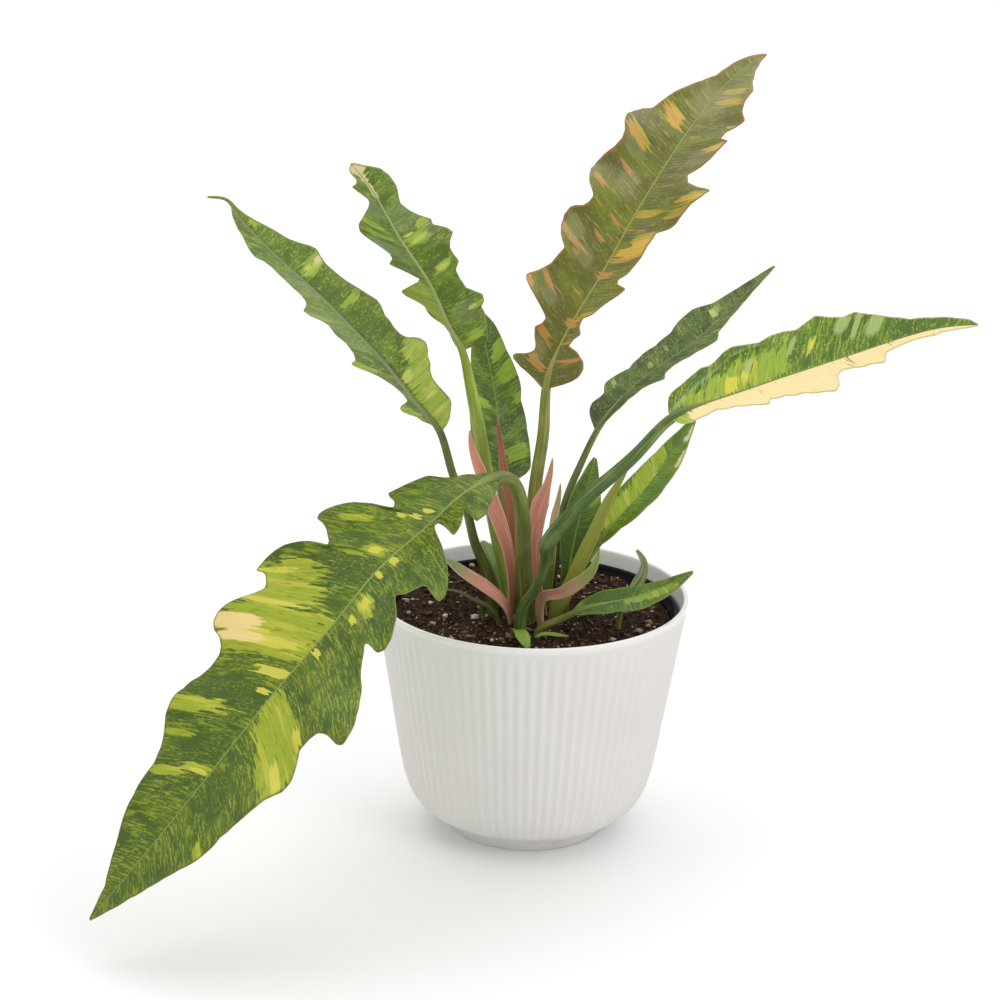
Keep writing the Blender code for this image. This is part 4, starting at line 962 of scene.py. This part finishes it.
# Tall leaf: the newest, olive and still flushed with orange, with a ruffled left edge and two base lobes.
# Its stalk is thick, straight and olive green.
TALL_STALK = stalk_skin("tall_stalk", (136, 142, 60), (170, 170, 92), (108, 114, 46), (164, 156, 76),
                        (150, 144, 88))
ORANGE_UPPER = palette((112, 126, 32), (94, 98, 34), (168, 150, 46), (204, 168, 58), (204, 142, 80),
                       (166, 112, 58), (166, 160, 118))
ORANGE_UNDER = palette((118, 120, 52), (96, 94, 46), (178, 150, 70), (210, 164, 90), (210, 146, 92),
                       (150, 104, 60))
grow_leaf(
    "leaf_tall",
    [(0, 9, 116), (0, 10, 145), (0, 12, 168), (0, 14, 186), (2, 20, 208), (5, 28, 230), (6, 37, 252),
     (11, 42, 270), (23, 50, 293), (36, 60, 313), (52, 74, 340), (71, 92, 369), (91, 112, 395),
     (114, 134, 417), (132, 150, 426)],
    6,
    [(0, 4.5), (0.5, 4.0), (0.85, 3.4), (1, 2.7)],
    [(-0.35, -0.75, 0.55), (-0.4, -0.7, 0.6)],
    (12, 8),
    [(0, 2.7), (3, 11), (8, 18), (13, 21), (18, 21.5), (22, 19.5), (26, 13), (27, 6), (32, 7), (36, 9.5),
     (40, 6), (45, 5.5), (49, 10), (57, 13), (65, 17), (71, 19.5), (71, 13), (74, 12.5), (78, 16), (86, 19),
     (97, 19.5), (107, 19.5), (111, 24), (120, 28.5), (128, 32.5), (134, 37), (141, 38.5), (140, 30),
     (141, 22), (146, 18), (153, 22), (161, 25.5), (169, 28), (175, 29), (174, 24), (180, 23.5), (186, 26),
     (193, 28.5), (197, 24), (204, 21.5), (214, 20), (222, 13), (232, 7), (241, 3), (249, 0.5)],
    [(0, 2.7), (4, 8), (7, 15), (9, 22), (11, 26), (13, 24), (14, 18), (17, 13), (20, 13.5), (24, 16.5),
     (29, 18.5), (32, 15), (36, 14), (40, 20), (44, 27), (48, 35), (52, 41), (55, 39), (59, 35), (65, 30),
     (72, 28), (77, 26.5), (79, 28), (84, 33.5), (90, 38), (97, 40), (102, 37.5), (104, 34), (105, 30),
     (108, 27), (112, 26), (115, 28), (118, 32), (123, 36), (129, 41), (136, 42.5), (141, 39), (146, 33),
     (151, 30), (156, 30.5), (161, 34), (167, 37.5), (173, 38), (177, 35), (179, 29), (185, 26), (192, 22),
     (199, 17.5), (207, 13), (215, 8.5), (224, 7.5), (233, 6.5), (240, 5), (249, 0.5)],
    280, (1.6, 55, 0.35),
    (
        leaf_skin("tall_upper", ORANGE_UPPER, 0.34, 0.45, Streaks=0.25, Specks=0.45, Flush=0.7,
                  Fray=1.6, Haze=0.3, Hem=1.6, Seed=5.0),
        leaf_skin("tall_under", ORANGE_UNDER, 0.5, 0.35, Streaks=0.3, Specks=0.4, Seed=5.0),
        TALL_STALK,
    ),
    lime=[(178, -12, 6, 9), (168, 26, 3, 8), (133, 32, 4, 9), (100, 15, 4, 8), (200, 12, 3, 7),
          (116, 8, 3, 7), (122, 26, 3, 7), (158, -24, 4, 10), (209, 10, 3, 6), (186, 26, 2, 5),
          (46, 8, 3, 6)],
    cream=[(178, -12, 4.5, 7), (91, 12, 4, 10), (168, 27, 1.8, 6), (134, 34, 2, 6), (98, 15, 2.4, 7)],
    blush=[(91, -38, 2.6, 9), (84, -24, 1.6, 9), (93, -13, 1.3, 5), (138, -21, 1.4, 6), (158, -27, 1.6, 7),
           (48, -36, 2.4, 6), (86, 10, 2, 9), (72, 2, 2, 4), (39, 0, 3, 4), (29, -14, 2, 6), (30, 6, 2, 5),
           (12, -10, 1.6, 6), (20, 12, 1.6, 6), (60, -32, 1.4, 5), (178, -12, 1.6, 7), (124, -30, 2, 6),
           (104, -8, 1.8, 5), (54, -24, 1.4, 5), (112, -34, 1.4, 6), (146, -36, 1.6, 5)],
    dark=[(14, 0, 22, 26), (40, -10, 10, 12)],
    painted_sheen=[(128, -14, 8, 7), (92, -30, 6, 8), (78, -14, 6, 6), (160, 20, 6, 8), (196, 2, 12, 12),
           (20, -12, 5, 6), (48, -20, 4, 6), (150, -22, 5, 8)],
    frill=(3.0, 40.0),
)

# Back right leaf: narrow, dark grey-green, seen from above, on a thin dark stalk.
# A living leaf in one piece from its root in the crown to its tip, with only a few pale marks.
GREY_UPPER = palette((100, 122, 46), (60, 80, 22), (150, 170, 80), (190, 200, 120), (200, 204, 150),
                     (104, 116, 62))
grow_leaf(
    "leaf_back_right",
    [(10, 17, 116), (12, 17, 142), (15, 20, 163), (17, 26, 179), (21, 34, 192), (27, 46, 203),
     (37, 62, 220), (50, 76, 234), (68, 90, 247), (92, 106, 260), (110, 120, 273), (128, 134, 287),
     (143, 146, 299)],
    6,
    [(0, 3.1), (0.4, 2.6), (1, 1.9)],
    [(-0.45, -0.25, 0.85)],
    (12, 8),
    [(0, 1.9), (7, 4), (14, 6), (24, 8), (34, 11), (40, 15), (46, 21), (51, 15), (58, 13), (66, 13),
     (75, 14.5), (82, 17.5), (88, 19.5), (95, 12.5), (109, 8.5), (122, 6), (134, 3.5), (145, 2),
     (157, 0.5)],
    [(0, 1.9), (4, 7), (8, 11.5), (16, 16), (20, 14), (24, 13), (31, 20), (37, 18), (45, 13.5), (54, 16),
     (68, 17.5), (83, 20), (98, 23), (106, 22.5), (115, 14), (120, 12.5), (132, 9), (144, 5), (157, 0.5)],
    140, (1.0, 48, 0.1),
    (
        leaf_skin("back_right_upper", GREY_UPPER, 0.5, 0.28, Streaks=0.35, Specks=0.6, Seed=6.0),
        leaf_skin("back_right_under", UNDER, 0.5, 0.35, Streaks=0.3, Specks=0.4, Seed=6.0),
        DARK_STALK,
    ),
    lime=[(110, -7, 3, 4), (54, -5, 2, 2.5), (32, -14, 1.5, 3), (96, 10, 1.5, 4), (70, -10, 1.2, 3)],
    cream=[(109, -7, 1.6, 3)],
    dark=[(8, 0, 14, 16), (22, 4, 8, 8)],
    columns=36,
)

# Right leaf: folded along its midrib; the upper half is green with a lime sector, the lower half cream.
# The stalk is grey-green, swollen at the elbow where it leaves its sheath.
GREY_STALK = stalk_skin("grey_green_stalk", (100, 124, 58), (152, 168, 110), (66, 90, 36), (118, 132, 66),
                        (130, 150, 90))
CREAM_UPPER = palette((104, 134, 38), (74, 106, 30), (150, 176, 58), (214, 206, 72), (240, 218, 158),
                      (190, 178, 120), (176, 192, 118))
grow_leaf(
    "leaf_right",
    [(-7, -20, 116), (-6, -21.5, 130), (-4.5, -22, 140), (0, -23, 148.5), (3.5, -25, 156), (6, -28, 165.5),
     (7.5, -30.5, 173), (7.5, -33, 180), (12, -35, 190), (18, -36, 198), (25, -37, 207), (38.5, -38.5, 221),
     (57, -40, 240), (74, -40, 259), (97, -38, 269), (133, -36, 282), (177, -38, 299), (216, -44, 314),
     (236, -50, 318)],
    13,
    [(0, 3.9), (0.12, 3.5), (0.22, 2.9), (0.31, 2.9), (0.36, 4.0), (0.42, 4.8), (0.5, 4.2), (0.8, 3.7),
     (1, 2.9)],
    [(-0.2, -0.5, 0.84)],
    (14, 12),
    [(0, 3.0), (3, 10), (9, 11.5), (18, 11), (25, 9.5), (35, 12), (44, 15.5), (53, 19), (54, 15.5),
     (63, 17), (74, 20.5), (84, 25.5), (91, 28), (94, 23), (94, 15.5), (97, 12), (104, 12.5), (113, 13.5),
     (121, 16), (122, 12), (123, 8.5), (131, 6.5), (139, 5), (147, 5), (151, 5.5), (156, 3.5), (165, 2.5),
     (175, 0.5)],
    [(0, 3.0), (2, 10), (5, 14), (11, 16), (17, 19.5), (24, 23), (29, 22), (33, 24), (39, 27.5), (44, 28.5),
     (51, 26.5), (58, 25), (65, 28), (72, 28.5), (79, 26.5), (85, 29), (91, 31), (98, 26.5), (105, 24),
     (112, 25.5), (119, 21.5), (129, 15.5), (139, 10), (151, 7.5), (162, 5.5), (170, 4), (175, 0.5)],
    200, (1.2, 50, 0.25),
    (
        leaf_skin("right_upper", CREAM_UPPER, 0.4, 0.35, Streaks=0.9, Specks=1.0, Haze=0.75, Seed=7.0),
        leaf_skin("right_under", {**UNDER, "Cream": paint(236, 222, 176), "Rim": paint(226, 208, 150)},
                  0.5, 0.35, Streaks=0.4, Specks=0.4, Seed=7.0),
        GREY_STALK,
    ),
    lime=[(14, -4, 6, 4), (28, -7, 8, 8), (42, -9, 8, 9), (56, -9, 7, 9), (66, -10, 4, 8), (8, 8, 8, 8),
          (84, -14, 2, 5)],
    cream=[(37, -6, 4, 5), (45, -8, 2, 4), (84, -14, 1.2, 3)],
    dark=[(46, -24, 12, 4), (76, -16, 5, 8), (140, -6, 14, 8)],
    painted_sheen=[(103, -20, 4, 5), (111, -18, 1.8, 9), (120, -14, 4.5, 6), (48, -13, 2, 4), (74, -18, 1.6, 5)],
    crease=[(0, -2, 2.8), (7, -5, 2.6), (18, -11, 2.0), (27, -15.5, 1.4), (40, -22, 1.0), (49, -23.5, 0.9),
            (60, -23, 0.8)],
    blush=[(22, 14, 12, 16), (40, 12, 16, 17), (66, 14, 16, 22), (92, 16, 16, 26), (116, 10, 14, 18),
           (140, 8, 14, 14), (163, 3, 14, 8)],
)

# Lower right leaf: a plain lance-shaped leaf in bright green, darker along one edge.
# A living leaf without teeth; its stalk stands in the mix beside the crown.
FRESH_UPPER = palette((126, 158, 30), (84, 118, 28), (160, 186, 44), (220, 212, 120), (226, 216, 150),
                      (150, 160, 80))
grow_leaf(
    "leaf_lower_right",
    [(18, 2, 116), (20, 1, 136), (27, 1, 154), (37, 2, 170), (49, 4, 186), (63, 6, 202), (77, 10, 222),
     (91, 14, 244)],
    3,
    [(0, 3.0), (1, 2.2)],
    [(-0.5, -0.4, 0.75)],
    (10, 10),
    [(0, 2.2), (17, 9), (37, 14), (51, 15), (67, 14), (80, 8), (93, 0.9)],
    [(0, 2.2), (16, 11), (34, 15), (44, 14), (62, 10), (80, 5), (93, 0.9)],
    90, (0.5, 60, 0.2),
    (
        leaf_skin("lower_right_upper", FRESH_UPPER, 0.36, 0.5, Streaks=0.4, Specks=0.3, Seed=8.0),
        leaf_skin("lower_right_under", UNDER, 0.5, 0.35, Streaks=0.3, Specks=0.3, Seed=8.0),
        GREEN_STALK,
    ),
    lime=[(24, -3, 16, 8), (46, -6, 12, 7), (62, -6, 6, 5)],
    blush=[(71, 13, 8, 3), (84, 6, 6, 3)],
    dark=[(36, 12, 22, 4), (77, -2, 6, 6)],
    columns=36,
)

# Small leaves of the side shoots, each with its own thin stalk: one behind, one at the left,
# one reaching over the mix to the right rim and one curled upright beside it.
FERNY_UPPER = palette((98, 130, 38), (68, 98, 28), (138, 166, 56), (200, 204, 100), (206, 206, 150),
                      (130, 140, 70))
# The pale small leaves: pale grey-green, and lighter still as painted light to offset the shade they stand
# in.
PALE_LIT_UPPER = palette((178, 202, 150), (152, 180, 126), (190, 206, 150), (200, 204, 140), (206, 206, 170),
                     (176, 184, 140))
ferny = leaf_skin("small_leaf_upper", FERNY_UPPER, 0.4, 0.45, Streaks=0.5, Specks=0.3, Seed=9.0)
pale_lit_leaf = leaf_skin("pale_small_leaf_painted_light", PALE_LIT_UPPER, 0.45, 0.4, Streaks=0.4, Specks=0.2, Seed=10.0)
small_under = leaf_skin("small_leaf_under", UNDER, 0.5, 0.35, Streaks=0.3, Specks=0.2, Seed=9.0)
grow_leaf(
    "leaf_small_behind",
    [(17, 13, 116), (20, 12, 138), (22, 13, 156), (25, 16, 174), (29, 20, 191), (33, 26, 207),
     (35, 30, 213)],
    1,
    [(0, 2.4), (1, 2.0)],
    [(0.3, -0.8, 0.4)],
    (10, 10),
    [(0, 2.0), (10, 6), (22, 11), (36, 14), (51, 11), (67, 6), (80, 0.9)],
    [(0, 2.0), (15, 5), (27, 8), (41, 9), (55, 9), (68, 5), (80, 0.9)],
    70, (0.4, 60, 0.2),
    (ferny, small_under, GREEN_STALK),
    lime=[(56, 5, 5, 4)],
    dark=[(30, -5, 26, 6), (26, 6, 12, 6)],
    columns=24,
)
grow_leaf(
    "leaf_small_left",
    [(-20, 15, 116), (-19, 14, 132), (-21, 15, 142), (-24, 17, 152), (-29, 22, 164)],
    1,
    [(0, 2.0), (1, 1.7)],
    [(0.3, -0.85, 0.4)],
    (10, 10),
    [(0, 1.7), (8, 6), (17, 9), (26, 7), (35, 0.9)],
    [(0, 1.7), (8, 5), (18, 6), (27, 4), (35, 0.9)],
    50, (0.3, 60, 0.2),
    (pale_lit_leaf, small_under, GREEN_STALK),
    columns=20,
)
grow_leaf(
    "leaf_small_right",
    [(4, -25, 116), (4, -26, 127), (9, -28, 132), (16, -30, 136), (24, -32, 141), (38, -34, 147),
     (60, -38, 154), (76, -42, 163), (89, -46, 172)],
    4,
    [(0, 2.6), (1, 2.0)],
    [(-0.2, -0.5, 0.84)],
    (12, 10),
    [(0, 2.0), (10, 6), (27, 9), (48, 10), (60, 8), (74, 0.9)],
    [(0, 2.0), (12, 7), (24, 8), (38, 7), (55, 4), (74, 0.9)],
    70, (0.4, 60, 0.2),
    (ferny, small_under, GREEN_STALK),
    lime=[(42, 2, 12, 3), (52, 3, 10, 3)],
    dark=[(18, 0, 12, 8)],
    columns=24,
)
grow_leaf(
    "leaf_small_curl",
    [(49, -17, 116), (50, -17, 132), (53, -18, 144), (58, -20, 152), (62, -22, 160), (63, -25, 169),
     (58, -28, 178)],
    2,
    [(0, 1.8), (1, 1.6)],
    [(-0.5, -0.6, 0.6), (-0.6, -0.6, 0.4)],
    (14, 14),
    [(0, 1.6), (8, 3.6), (18, 4), (28, 2.6), (38, 0.9)],
    [(0, 1.6), (8, 3.2), (18, 3.6), (28, 2.4), (38, 0.9)],
    50, (0.2, 60, 0.2),
    (pale_lit_leaf, small_under, GREEN_STALK),
    lime=[(18, 0, 16, 2)],
    columns=16,
)


# Sheaths: the thin pointed scales that wrapped each new leaf, now standing open round the stalks.
# Fleshy and satiny: pink, red-brown, cream or olive, keeled outside, hollow inside, paler at the edge.
def sheath_skin(name, *chips, base_to=0.45, tip_from=0.80):
    """Skin of a sheath or shoot; chips: body, light streaks, base, tip, edge."""
    body, light, base, tip, edge = (paint(*chip) for chip in chips)
    mat, tree, shader = new_material(name)
    spot = node(tree, "SeparateXYZ", {0: painted(tree, "strip")["Vector"]}).outputs
    lengthwise = node(tree, "CombineXYZ", {
        0: times(tree, spot["X"], 1.6), 1: times(tree, spot["Y"], 5.0), 2: spot["Z"],
    })
    streak = speckle(tree, lengthwise.outputs[0], 2.0, 5.0)
    shade = blend(tree, ramp(tree, streak, 0.36, 0.66), body, light)
    shade = blend(tree, ramp(tree, spot["X"], base_to, base_to - 0.35), shade, base)
    shade = blend(tree, ramp(tree, spot["X"], tip_from, min(tip_from + 0.3, 0.98)), shade, tip)
    rim = ramp(tree, calc(tree, "ABSOLUTE", spot["Y"]), 0.80, 0.97)
    shade = blend(tree, times(tree, rim, 0.65), shade, edge)
    wear(tree, shader, shade, 0.45, bumps(tree, streak, 0.3, 0.0004), 0.4)
    return mat


STRIP_SIDES = 24
STRIP_STEP = 1.6


def grow_sheath(node_name, route, sizes, face, mat, hollow=0.55):
    """Pointed keeled strip: (share of length, half width, half thickness) sizes, a channel on its face."""
    rib = Midrib(route, len(route) - 1, [face], (0, 0))
    steps = max(STRIP_SIDES, int(rib.stalk / STRIP_STEP))
    made, u, angle, hub = tube_mesh(node_name + "_strip", steps, STRIP_SIDES, [mat])
    c, t, n, b = rib.frame(-rib.stalk * (1.0 - u))
    wide = np.interp(u, [p[0] for p in sizes], [p[1] for p in sizes])
    thick = np.interp(u, [p[0] for p in sizes], [p[2] for p in sizes])
    x = np.cos(angle)
    z = np.sin(angle)
    open_up = np.clip((u - 0.12) / 0.25, 0.0, 1.0)
    channel = hollow * open_up * (1.0 - x ** 2)
    lip = np.where(z > 0, 1.0 - 1.1 * channel, 1.0 + 0.5 * channel)
    rise = thick * z * lip + 0.35 * open_up * wide * (x ** 2 - 0.5) * 0.6
    move_points(made, c + b * (x * wide * hub)[:, None] + n * (rise * hub)[:, None])
    store(made.data, "strip", "FLOAT_VECTOR", np.stack([u, x, np.full(len(u), float(len(node_name)))], -1))
    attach(made, "root")
    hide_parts(node_name)


PINK = sheath_skin("pink_sheath", (202, 116, 92), (228, 168, 148), (158, 108, 74), (202, 146, 112),
                   (238, 206, 184))
PINK_LOW = sheath_skin("pink_low_sheath", (204, 124, 100), (226, 170, 150), (170, 104, 78), (138, 152, 104),
                       (232, 200, 178), tip_from=0.62)
PINK_GREEN = sheath_skin("pink_sheath_green_tip", (206, 146, 124), (220, 170, 146), (190, 150, 116),
                         (140, 158, 74), (214, 190, 150), tip_from=0.55)
BROWN = sheath_skin("red_brown_sheath", (150, 90, 62), (176, 112, 80), (120, 100, 50), (140, 84, 56),
                    (188, 140, 108))
CREAM = sheath_skin("cream_sheath", (190, 176, 122), (208, 198, 150), (112, 134, 56), (190, 160, 110),
                    (216, 206, 166), base_to=0.7)
OLIVE = sheath_skin("olive_sheath", (136, 142, 44), (160, 162, 62), (112, 122, 40), (140, 144, 50),
                    (160, 164, 80))
grow_sheath(
    "sheath_pink_left",
    [(-10.5, -4.5, 116), (-11, -4.5, 134), (-11.5, -4, 150), (-13.5, -4, 164.5), (-16, -3.5, 174.5),
     (-20.5, -2, 187), (-25.5, -1, 200), (-31, 0, 214), (-36, 2, 228), (-37, 3, 236)],
    [(0, 2.2, 1.8), (0.3, 2.6, 1.4), (0.42, 3.4, 1.3), (0.55, 4.5, 1.1), (0.66, 4.5, 1.0), (0.85, 3.0, 0.8),
     (0.95, 1.5, 0.6), (1, 0.5, 0.4)],
    (0.3, -0.9, 0.3), PINK,
)
grow_sheath(
    "sheath_brown_back",
    [(-4, 1, 116), (-4, 1, 132), (-7, 1, 148), (-11, 1, 172), (-14, 2, 196), (-17, 3, 213), (-20, 4, 231),
     (-22, 5, 243)],
    [(0, 1.8, 1.6), (0.4, 3.0, 1.1), (0.7, 2.6, 0.9), (0.92, 1.4, 0.6), (1, 0.4, 0.4)],
    (0.1, -1, 0.2), BROWN,
)
grow_sheath(
    "sheath_pink_centre",
    [(9, 0, 116), (5, 0, 136), (1.5, -1.5, 155), (0.5, -2.5, 171.5), (1.5, -3, 182), (3.5, -3, 194.5),
     (7.5, -3.5, 208), (10, -4, 223)],
    [(0, 2.4, 1.8), (0.3, 3.2, 1.5), (0.6, 4.6, 1.2), (0.74, 5.0, 1.1), (0.85, 2.4, 0.9), (0.95, 1.3, 0.6),
     (1, 0.4, 0.4)],
    (0, -1, 0.2), PINK,
)
grow_sheath(
    "sheath_pink_low",
    [(-11, -13, 116), (-12, -13, 130), (-16, -18, 141), (-26, -26, 153), (-38, -34, 164), (-48, -41, 174)],
    [(0, 2.0, 1.8), (0.25, 4.0, 1.6), (0.6, 4.8, 1.4), (0.85, 4.0, 1.0), (0.95, 2.8, 0.7), (1, 1.0, 0.4)],
    (0.2, -0.6, 0.8), PINK_LOW,
    hollow=0.3,
)
grow_sheath(
    "sheath_cream",
    [(9, 10, 116), (10, 9, 146), (11, 8, 164), (12, 7, 183), (14, 6, 195), (15, 5, 205)],
    [(0, 1.8, 1.6), (0.5, 2.8, 1.1), (0.8, 2.2, 0.9), (0.94, 1.1, 0.6), (1, 0.4, 0.4)],
    (0, -1, 0.2), CREAM,
)
grow_sheath(
    "sheath_pink_curl",
    [(7, -15, 116), (5, -17, 132), (5, -18, 142), (8, -21, 147), (14, -24, 149), (21, -28, 154),
     (28, -30, 160), (34, -31, 168), (37, -30, 179)],
    [(0, 2.0, 1.6), (0.35, 3.0, 1.3), (0.65, 3.8, 1.1), (0.85, 2.6, 0.9), (0.95, 1.2, 0.6), (1, 0.4, 0.4)],
    (-0.1, -0.7, 0.7), PINK_GREEN,
)
grow_sheath(
    "sheath_olive",
    [(14, -12, 116), (13, -12, 128), (15, -12, 137), (21, -10, 148), (27, -9, 163), (34, -8, 180),
     (41, -7, 197), (47, -6, 209), (53, -4, 219)],
    [(0, 2.6, 1.8), (0.2, 4.2, 1.5), (0.5, 4.0, 1.3), (0.8, 3.0, 1.0), (0.94, 1.4, 0.7), (1, 0.4, 0.4)],
    (0.2, -0.8, 0.5), OLIVE,
)

# Shoots: short green leaves just leaving the mix, one bending to the front rim, one lying on the mix.
# Fleshy rolled strips like the sheaths; the two at the left are thin and dull.
SHOOT = sheath_skin("shoot_green", (106, 138, 50), (140, 168, 66), (92, 124, 46), (120, 146, 58),
                    (74, 104, 40))
THIN = sheath_skin("thin_shoot_green", (84, 96, 54), (116, 124, 80), (76, 74, 44), (104, 108, 66),
                   (108, 116, 74))
grow_sheath(
    "shoot_front",
    [(-9, -30, 116), (-9, -31, 126), (-8, -35, 131), (-6, -43, 133), (-4, -51, 131), (-2, -58, 129)],
    [(0, 2.2, 1.8), (0.4, 3.6, 1.2), (0.75, 4.6, 0.9), (0.92, 2.6, 0.7), (1, 0.8, 0.5)],
    (0.2, -0.3, 0.95), SHOOT,
)
grow_sheath(
    "shoot_on_soil",
    [(1, -37, 116), (2, -37, 126), (6, -37, 129.5), (13, -38, 130), (21, -39, 129.5)],
    [(0, 1.4, 1.2), (0.5, 1.8, 0.9), (0.8, 1.6, 0.7), (1, 0.6, 0.5)],
    (0, -0.3, 0.95), SHOOT,
)
grow_sheath(
    "shoot_left_thin",
    [(-19, -15, 116), (-19, -15, 130), (-24, -17, 138), (-33, -19, 143), (-41, -21, 148), (-48, -23, 150)],
    [(0, 1.5, 1.3), (0.5, 1.6, 1.1), (1, 0.7, 0.6)],
    (0.1, -0.6, 0.8), THIN,
)
grow_sheath(
    "shoot_left_short",
    [(-27, -7, 116), (-27, -7, 128), (-28, -9, 135), (-31, -13, 142)],
    [(0, 1.5, 1.3), (0.6, 1.7, 1.1), (1, 0.7, 0.6)],
    (0.1, -0.6, 0.8), THIN,
)
